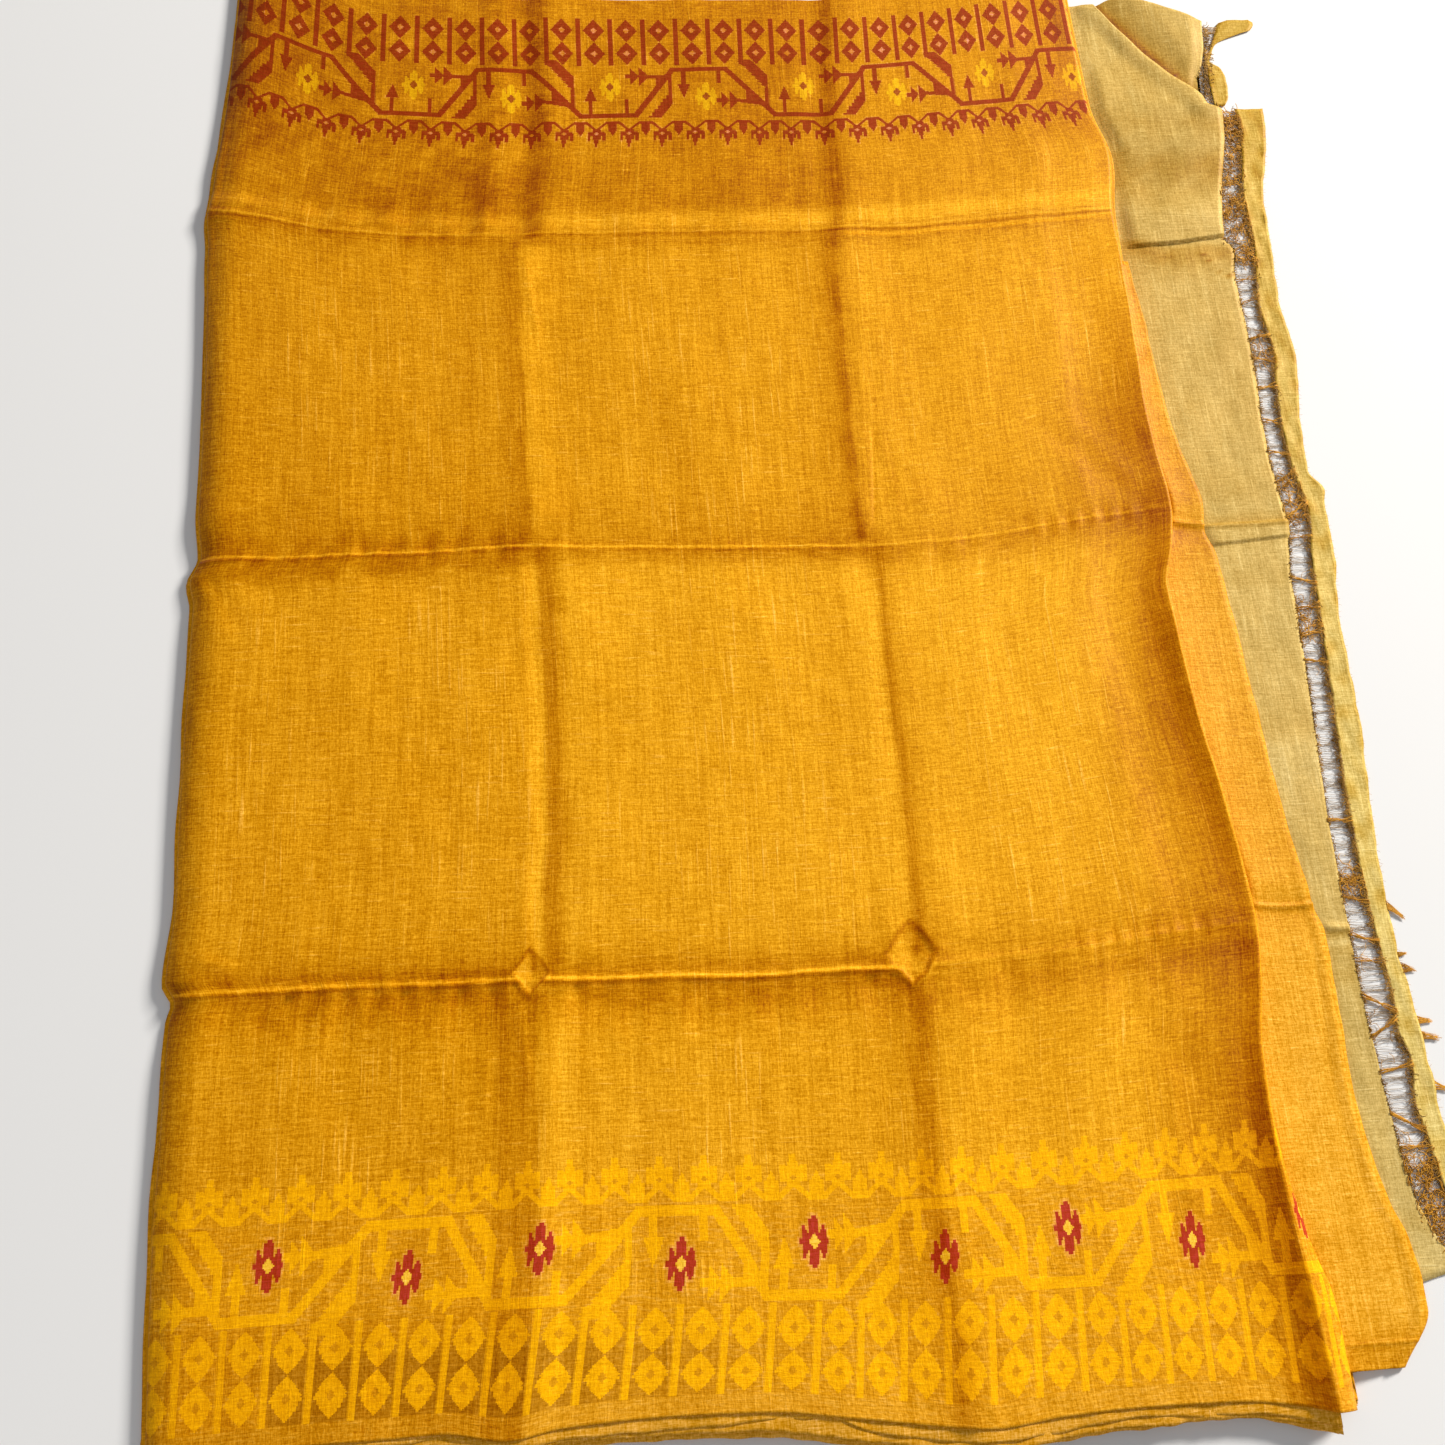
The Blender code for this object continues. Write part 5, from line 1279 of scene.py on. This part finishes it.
def make_side_strip():
    marks = [(fold, 0.008, 0.0014) for fold in STRIP_FOLDS] + [(0.018, 0.003, 0.0010), (0.003, 0.001, 0.001)]
    ys = graded(GOLD_STRIP[0].y, GOLD_STRIP[-1].y, 0.0045, marks)
    outer = column(GOLD_STRIP, "x_outer", ys) + 0.0004 * ripples(ys, 0 * ys, 71, 6, 0.02, 0.1)
    x = between(foot_x(ys) + SEAT, outer, STRIP_SHARES)
    y = between(ys, ys, STRIP_SHARES)
    z = strip_z(y, STRIP_SHARES)
    for fold in STRIP_FOLDS:
        off = fold + 0.0010 * np.sin(90 * x) - y
        z = z + across_fold(STRIP_CREASE, off) * 0.0001 * soft_step(STRIP_SHARES / 0.06)
    z = z + 0.00030 * ripples(x, y, 72, 10, 0.02, 0.12)
    # the second hem's edge, and the lower part's wrinkles along the outer edge
    z = z + 0.0006 * bump((y - 0.018) / 0.0012)
    from_edge = outer[:, None] - x
    lower_part = before(y, 0.34, 0.1)
    for height, place, reach in ((0.0010, 0.0062, 0.0018), (-0.0007, 0.0105, 0.0020),
                                 (0.0005, 0.0230 + 0.004 * np.sin(14 * y), 0.0030)):
        z = z + height * bump((from_edge - place) / reach) * lower_part
    z = z - 0.0009 * after(STRIP_SHARES, 0.90, 0.10) ** 2
    # painted shade across the strip's folds, and deeper along the outer edge of its lower part
    shade = 0.01 * np.interp(y + 0.002 * np.sin(70 * x), *STRIP_SHADE)
    shade = shade * (1 + 0.2 * ripples(x, y, 73, 8, 0.01, 0.05))
    shade = shade + 0.16 * before(from_edge, 0.004, 0.004) * lower_part
    made = add_strip("side_strip", STRIP_SILK, (x, y, z), 1.3, shade, 0.0035, 0.0010, "rbt")
    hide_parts("gold_strip")


# The pale end
def slant_distance(x, y):
    """Distance from the slanting pleat's line."""
    foot = np.array(SLANT_FOOT)
    line = np.array(SLANT_HEAD) - foot
    x, y = x - foot[0], y - foot[1]
    share = np.clip((x * line[0] + y * line[1]) / (line @ line), 0, 1)
    return np.hypot(x - share * line[0], y - share * line[1])


def thin_crease(x, y):
    """The thin curved crease below the flap: 1 on its line."""
    return bump((y - np.interp(x, *THIN_CREASE)) / 0.0014) * after(x, 0.789, 0.004)


def pale_z(x, y, left):
    """Upper face of the pale end, with its raised folds."""
    z = 0.0012 + 0.00035 * ripples(x, y, 90, 12, 0.02, 0.10)
    free = after(x, left + STRIP_OVERHANG - 0.004, 0.008)
    # upper fold: a hump that ends in a flap with a sharp edge towards the lower hem
    edge, ridge = np.interp(x, *FLAP_EDGE), np.interp(x, *FLAP_RIDGE)
    hump = np.interp((y - ridge) / 0.095, *FLAP_HUMP)
    flat = 0.0036 - 0.0007 * (ridge - y) / np.maximum(ridge - edge, 0.002)
    flap = np.where(y > ridge, hump, np.maximum(flat, 0.0028))
    z = z + free * flap * after(y, edge, 0.0012)
    # middle fold: a narrow flat band
    low, high = np.interp(x, *FLAT_LOW), np.interp(x, *FLAT_HIGH)
    z = z + 0.0018 * free * after(y, low, 0.002) * before(y, high + 0.003, 0.004)
    z = z + 0.0007 * free * bump((y - high) / 0.002)
    # lower fold: one ridge
    ridge = np.interp(x, *LOW_RIDGE)
    z = z + 0.0014 * free * bump((y - ridge) / 0.0028) - 0.0004 * free * bump((y - ridge + 0.008) / 0.004)
    return z + 0.0007 * thin_crease(x, y) + 0.0022 * before(slant_distance(x, y), 0.022, 0.016)


def make_pale_end():
    ys = graded(0.058, 1.120, 0.0042, [(0.866, 0.020, 0.0011), (0.589, 0.014, 0.0011),
                                       (0.283, 0.008, 0.0011), (1.004, 0.006, 0.0012)])
    shares = np.linspace(0, 1, 22)
    left = ledge_end(ys) + 0.0005
    outer = column(PALE_STRETCH, "x_outer", ys) - 0.0003
    x, y = between(left, outer, shares), between(ys, ys, shares)
    y = y - 0.25 * (outer[:, None] - x) * before(y, 0.075, 0.017)
    # painted shade across the pale end's folds, and a line of it in the thin crease
    tilt = 0.10 * (x - 0.78) + 0.003 * np.sin(60 * x)
    shade = 0.01 * np.interp(y + tilt, *PALE_SHADE) * (1 + 0.2 * ripples(x, y, 93, 8, 0.01, 0.05))
    shade = shade + 0.55 * thin_crease(x, y + 0.001)
    place = (x, y, pale_z(x, y, left[:, None]))
    made = add_strip("pale_end", PALE_SILK, place, 2.1, shade, 0.003, 0.0008, "rbt", 0.0003)
    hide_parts("pale_stretch")


def make_pale_turned_corner():
    across = np.linspace(0, 1, 34)
    along = np.linspace(0, 5, 46)
    x_low, x_high, y_low, y_high = [
        smooth_between(range(6), [getattr(row, name) for row in PALE_CORNER], along)
        for name in ("x_low", "x_high", "y_low", "y_high")]
    bulge = np.interp(across, CORNER_STOPS, CORNER_BULGE)
    x = between(x_low, x_high, across).T + bulge[:, None] * along / 5
    y = between(y_low, y_high, across).T
    away = slant_distance(x, y)
    wrinkle = bump((y - 0.6 * x - 0.5600 + 0.002 * np.sin(160 * x)) / 0.0016)
    z = 0.0010 + 0.00022 * ripples(x, y, 95, 10, 0.015, 0.06)
    z = z + 0.0036 * after(away, 0.004, 0.034) + 0.0010 * wrinkle * before(x, 0.806, 0.008)
    z = z - 0.0024 * after(along, 4.2, 0.8)
    # painted shade: a dark line where the pleat's edge shades the flap, a soft shade beside it and in the
    # wrinkle, and the flap painted a little lighter further off
    shade = 0.62 * bump(away / 0.006) + 0.25 * before(away, 0.030, 0.030) + 0.5 * wrinkle * (x < 0.806)
    shade = shade - 0.10 * after(away, 0.03, 0.02)
    made = add_strip("pale_turned_corner", SHADED_CORNER_SILK, (x, y, z), 3.1, shade, 0.0025, 0.0006, "rt", 0.0003)
    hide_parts("pale_corner")


def make_band(name, rows, node, seed):
    """A narrow woven strip with slightly curled, uneven edges."""
    low, high = rows[0].y, rows[-1].y
    ys = np.linspace(low, high, max(24, int((high - low) / 0.0030)))
    inner = column(rows, "x_inner", ys) + 0.0004 * ripples(ys, 0 * ys, seed, 7, 0.008, 0.05)
    outer = column(rows, "x_outer", ys)
    outer = np.minimum(outer, outer - 0.0003 + 0.0004 * ripples(ys, 0 * ys, seed + 1, 7, 0.008, 0.05))
    shares = np.linspace(0, 1, 9)
    x, y = between(inner, outer, shares), between(ys, ys, shares)
    curled = np.abs(2 * shares - 1) ** 3
    z = 0.0010 + 0.00030 * ripples(x, y, seed + 2, 10, 0.010, 0.06)
    z = z + 0.0006 * curled * (0.6 + 0.6 * ripples(y, 0 * y, seed + 3, 6, 0.02, 0.10))
    # painted shade: deeper towards the top and on the curled edges, with darker patches at random
    shade = np.interp(y, *BAND_SHADE_UP) + 0.14 * curled * (y > 0.1)
    shade = shade + 0.16 * np.maximum(0, ripples(x, y, seed + 5, 10, 0.006, 0.05))
    place = (x, y, np.clip(z, 0.0006, 0.0021))
    made = add_strip(name, BAND_SILK, place, 4.1, shade, 0.0022, 0.0005, "lrbt", 0.0002)
    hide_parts(node)
    area = float(np.sum((outer - inner)[1:] * np.diff(ys)))
    width = float(np.max(outer - inner))


# Threads
class Threads:
    """Many thin three-sided threads gathered in one mesh."""

    def __init__(self):
        self.points, self.faces, self.places = [], [], []

    def add(self, path, radius, taper=1.0):
        path = np.asarray(path, float)
        forward = np.gradient(path, axis=0)
        forward /= np.maximum(np.linalg.norm(forward, axis=1, keepdims=True), 1e-9)
        side = np.cross(forward, (0.0, 0.0, 1.0))
        side /= np.maximum(np.linalg.norm(side, axis=1, keepdims=True), 1e-6)
        up = np.cross(side, forward)
        first, end = len(self.points), len(self.points) + 3 * (len(path) - 1)
        for i, centre in enumerate(path):
            r = radius * (1 + (taper - 1) * i / (len(path) - 1))
            for k in range(3):
                turn = 2 * math.pi * k / 3
                self.points.append(centre + r * (side[i] * math.cos(turn) + up[i] * math.sin(turn)))
                self.places.append((centre[0] + 0.001 * k, centre[1]))
        for start in range(first, end, 3):
            for k in range(3):
                a, b = start + k, start + (k + 1) % 3
                self.faces.append((a, b, b + 3, a + 3))
        self.faces.append((first + 2, first + 1, first))
        self.faces.append((end, end + 1, end + 2))

    def build(self, name, material, node=None):
        made = add_mesh(name, self.points, self.faces, {"cloth": self.places}, material)
        if node:
            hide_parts(node)


def inner_edge(rows, y):
    return float(column(rows, "x_inner", np.clip(y, rows[0].y, rows[-1].y)))


def gap_sides(y, end_y=None):
    start = float(column(PALE_STRETCH, "x_outer", y))
    return start, inner_edge(END_STRIP, y if end_y is None else end_y)


def warp_path(draw, start, end, gather, slack, high, sag):
    """A bare warp thread from a place (x, y) to another, which sags and strays in its middle."""
    path = []
    for share in np.linspace(0, 1, 6):
        swell = math.sin(math.pi * share)
        path.append((start[0] + (end[0] - start[0]) * share,
                     start[1] + (end[1] - start[1]) * share + (gather + draw.normal(0, slack)) * swell,
                     high - sag * swell + 0.0003 * draw.random()))
    return path


def make_gap_warp():
    """Bare warp across the gap: a net of fine threads that gather here and part there."""
    draw = np.random.default_rng(17)
    threads = Threads()
    y = 0.070
    while y < 0.996:
        end_y = y + draw.normal(0, 0.0016)
        start_x, end_x = gap_sides(y, end_y)
        gather = 0.0022 * math.sin(2 * math.pi * y / 0.0135 + 2.0 * math.sin(y * 41.0))
        path = warp_path(draw, (start_x - 0.0012, y), (end_x + 0.0012, end_y), gather, 0.0003, 0.0011, 0.0006)
        threads.add(path, 0.00009 + 0.00006 * draw.random())
        y += draw.uniform(0.0006, 0.0014)
    threads.build("gap_warp", WARP, "gap_threads")


def make_gap_fray():
    """Short curled ends along both edges of the gap, thick along the strip and thin opposite."""
    draw = np.random.default_rng(19)
    threads = Threads()
    for inner, count, longest in ((False, 1500, 0.0042), (True, 3000, 0.0078)):
        for _ in range(count):
            y = draw.uniform(0.068, 0.996)
            start_x, end_x = gap_sides(y)
            x, way = (end_x + 0.0006, -1.0) if inner else (start_x - 0.0006, 1.0)
            step = min(longest * draw.uniform(0.35, 1.0), 0.75 * (end_x - start_x)) / 4
            turn = draw.normal(0, 0.7)
            bend = draw.normal(0, 1.1)
            path = []
            for i in range(5):
                path.append((x, y, 0.0010 + 0.0009 * math.sin(0.8 * i) * draw.random()))
                x += way * step * math.cos(turn)
                y += step * math.sin(turn)
                turn += bend * 0.5
            threads.add(path, 0.00021 + 0.00010 * draw.random(), 0.6)
    threads.build("gap_fray", FRAY)


def curl(threads, draw, y, size, radius):
    """One loose loop of thread lying in the gap."""
    a, b = gap_sides(y)
    x = draw.uniform(a, b)
    turn = draw.uniform(0, 2 * math.pi)
    bend = draw.normal(0, 330.0)
    step = size * draw.uniform(0.7, 1.3)
    path = []
    for i in range(11):
        path.append((x, y, 0.0013 + 0.0007 * math.sin(i * 0.9 + turn)))
        turn += bend * step + draw.normal(0, 0.35)
        x = min(max(x + step * math.cos(turn), a - 0.001), b + 0.001)
        y += step * math.sin(turn)
    threads.add(path, radius)


def make_tangles():
    """Twisted bunches of slipped thread across the gap, and loose loops between them."""
    draw = np.random.default_rng(23)
    threads = Threads()
    for row in BUNDLES:
        start_x, end_x = gap_sides(row.y)
        start_x, end_x = start_x - 0.0012, end_x + 0.0014
        twist = draw.uniform(0, 6.0)
        for strand in range(row.strands):
            phase = 2 * math.pi * strand / row.strands
            spread = draw.uniform(0.0006, 0.0015)
            fan = draw.normal(0, 0.0016)
            path = []
            for share in np.linspace(0, 1, 9):
                turn = phase + twist + 5.0 * share
                waist = 0.4 + 0.6 * abs(2 * share - 1)
                at = row.y + row.lean * (share - 0.5) * 1.4 + spread * math.sin(turn) * waist
                at += fan * waist * (1 if share > 0.5 else -0.6)
                path.append((start_x + (end_x - start_x) * share, at,
                             0.0013 + 0.0006 * math.cos(turn) * waist))
            threads.add(path, 0.00024 + 0.00008 * draw.random())
        for _ in range(row.loops):
            curl(threads, draw, row.y + draw.normal(0, 0.0025), 0.0010, 0.00017)
    for row in TANGLES:
        for _ in range(row.strands):
            curl(threads, draw, draw.uniform(row.y_low, row.y_high), 0.0018, 0.00028)
    threads.build("gap_tangles", TUFT)


def make_corner_warp():
    """The bare warp behind the slanting pleat, and the fuzz along its edge."""
    draw = np.random.default_rng(29)
    threads = Threads()
    last = PALE_CORNER[-1]

    def edge(y):
        share = (y - last.y_low) / (last.y_high - last.y_low)
        return share, last.x_low + (last.x_high - last.x_low) * share

    y = 1.011
    while y < 1.096:
        share, start_x = edge(y)
        start_x += float(np.interp(share, CORNER_STOPS, CORNER_BULGE)) - 0.0012
        end_y = y + draw.normal(0, 0.0010)
        end = (inner_edge(CORNER_STRIP, end_y) + 0.0010, end_y)
        path = warp_path(draw, (start_x, y), end, 0.0, 0.0004, 0.0010, 0.0004)
        threads.add(path, 0.00012 + 0.00014 * draw.random())
        y += draw.uniform(0.0008, 0.0022)
    for _ in range(170):
        y = draw.uniform(1.012, 1.095)
        x = edge(y)[1] + 0.002
        turn = draw.uniform(-1.4, 1.4)
        path = []
        for i in range(9):
            path.append((x, y, 0.0012 + 0.0005 * math.sin(i + turn)))
            turn += draw.normal(0, 0.5)
            x += 0.0012 * math.cos(turn)
            y += 0.0012 * math.sin(turn)
        threads.add(path, 0.00024)
    threads.build("corner_warp", FRAY, "corner_threads")


def make_end_tufts():
    """Tufts that stand out past the end strip, each a wedge of threads drawn to a point."""
    draw = np.random.default_rng(31)
    threads = Threads()
    ys, _, xs = zip(*END_STRIP)
    for tuft in FRINGE:
        root_x = float(np.interp(tuft.y, ys, xs)) - 0.0010
        for _ in range(46):
            across = draw.uniform(-1.0, 1.0)
            y = tuft.y + 0.75 * across * tuft.width
            length = tuft.length * draw.uniform(0.60, 1.10) * (1 - 0.25 * abs(across)) + 0.0024
            lean = tuft.lean + draw.normal(0, 0.05)
            tip = tuft.y + 0.28 * across * tuft.width
            path = []
            for share in np.linspace(0, 1, 7):
                base_y = y + (tip - y) * soft_step(share * 1.15)
                path.append((root_x + length * share * math.cos(lean),
                             base_y + length * share * math.sin(lean) + draw.normal(0, 0.00012),
                             0.0009 + 0.0008 * math.sin(math.pi * share) * draw.random()))
            threads.add(path, 0.00022, 0.5)
    # short stubs all along the outer edge
    y = 0.068
    while y < 1.000:
        root_x = float(np.interp(y, ys, xs)) - 0.0009
        length = draw.uniform(0.0008, 0.0024) + 0.0009
        lean = draw.normal(0, 0.5)
        threads.add([(root_x + length * share * math.cos(lean), y + length * share * math.sin(lean), 0.0009)
                     for share in (0, 0.5, 1.0)], 0.00012, 0.5)
        y += draw.uniform(0.002, 0.007)
    threads.build("end_tufts", TUFT, "end_fringe")


# The room
def make_floor():
    bpy.ops.mesh.primitive_plane_add(size=12, location=(0, 0, -0.0002))
    floor = bpy.context.object
    floor.name = "floor"
    floor.data.materials.append(new_material("floor_paint", (0.80, 0.79, 0.77), 0.85, 0.0, 0.2)[0])


def make_camera():
    """The photo's view, solved from the panel's straight edges and folds."""
    lens = bpy.data.cameras.new("camera")
    lens.lens = 36.0
    lens.sensor_width = 36.0
    lens.sensor_fit = "HORIZONTAL"
    camera = bpy.data.objects.new("camera", lens)
    right = (0.99704, -0.06036, 0.04758)
    up = (0.03988, 0.93550, 0.35112)
    back = (-0.0657, -0.34818, 0.93512)
    place = (0.2996 + SHIFT[0], 0.0915 + SHIFT[1], 0.9686)
    camera.matrix_world = Matrix([*zip(right, up, back, place), (0, 0, 0, 1)])
    bpy.context.scene.collection.objects.link(camera)
    bpy.context.scene.camera = camera


def add_light(name, place, target, size, power, colour):
    data = bpy.data.lights.new(name, "AREA")
    data.shape = "SQUARE"
    data.size = size
    data.energy = power
    data.color = colour
    light = bpy.data.objects.new(name, data)
    light.location = place
    light.rotation_euler = (Vector(target) - Vector(place)).to_track_quat("-Z", "Y").to_euler()
    bpy.context.scene.collection.objects.link(light)


def make_lights():
    world = bpy.data.worlds.new("studio")
    world.use_nodes = True
    world.node_tree.nodes["Background"].inputs[0].default_value = (0.93, 0.95, 1.0, 1.0)
    world.node_tree.nodes["Background"].inputs[1].default_value = 0.29
    bpy.context.scene.world = world
    bpy.context.scene.view_settings.view_transform = "Standard"
    add_light("key", KEY_PLACE, (0.0, 0.0, 0.0), 1.1, 545.0, (1.0, 0.98, 0.95))
    add_light("fill", (-0.9, -1.6, 1.9), (0.0, -0.2, 0.0), 1.6, 8.5, (0.95, 0.97, 1.0))


make_camera()
make_floor()
make_lights()
make_top_cloth()
make_lower_layers()
make_side_strip()
make_pale_end()
make_pale_turned_corner()
make_gap_warp()
make_gap_fray()
make_tangles()
make_corner_warp()
make_end_tufts()
make_band("end_band", END_STRIP, "end_strip", 110)
make_band("corner_band", CORNER_STRIP, "corner_strip", 120)
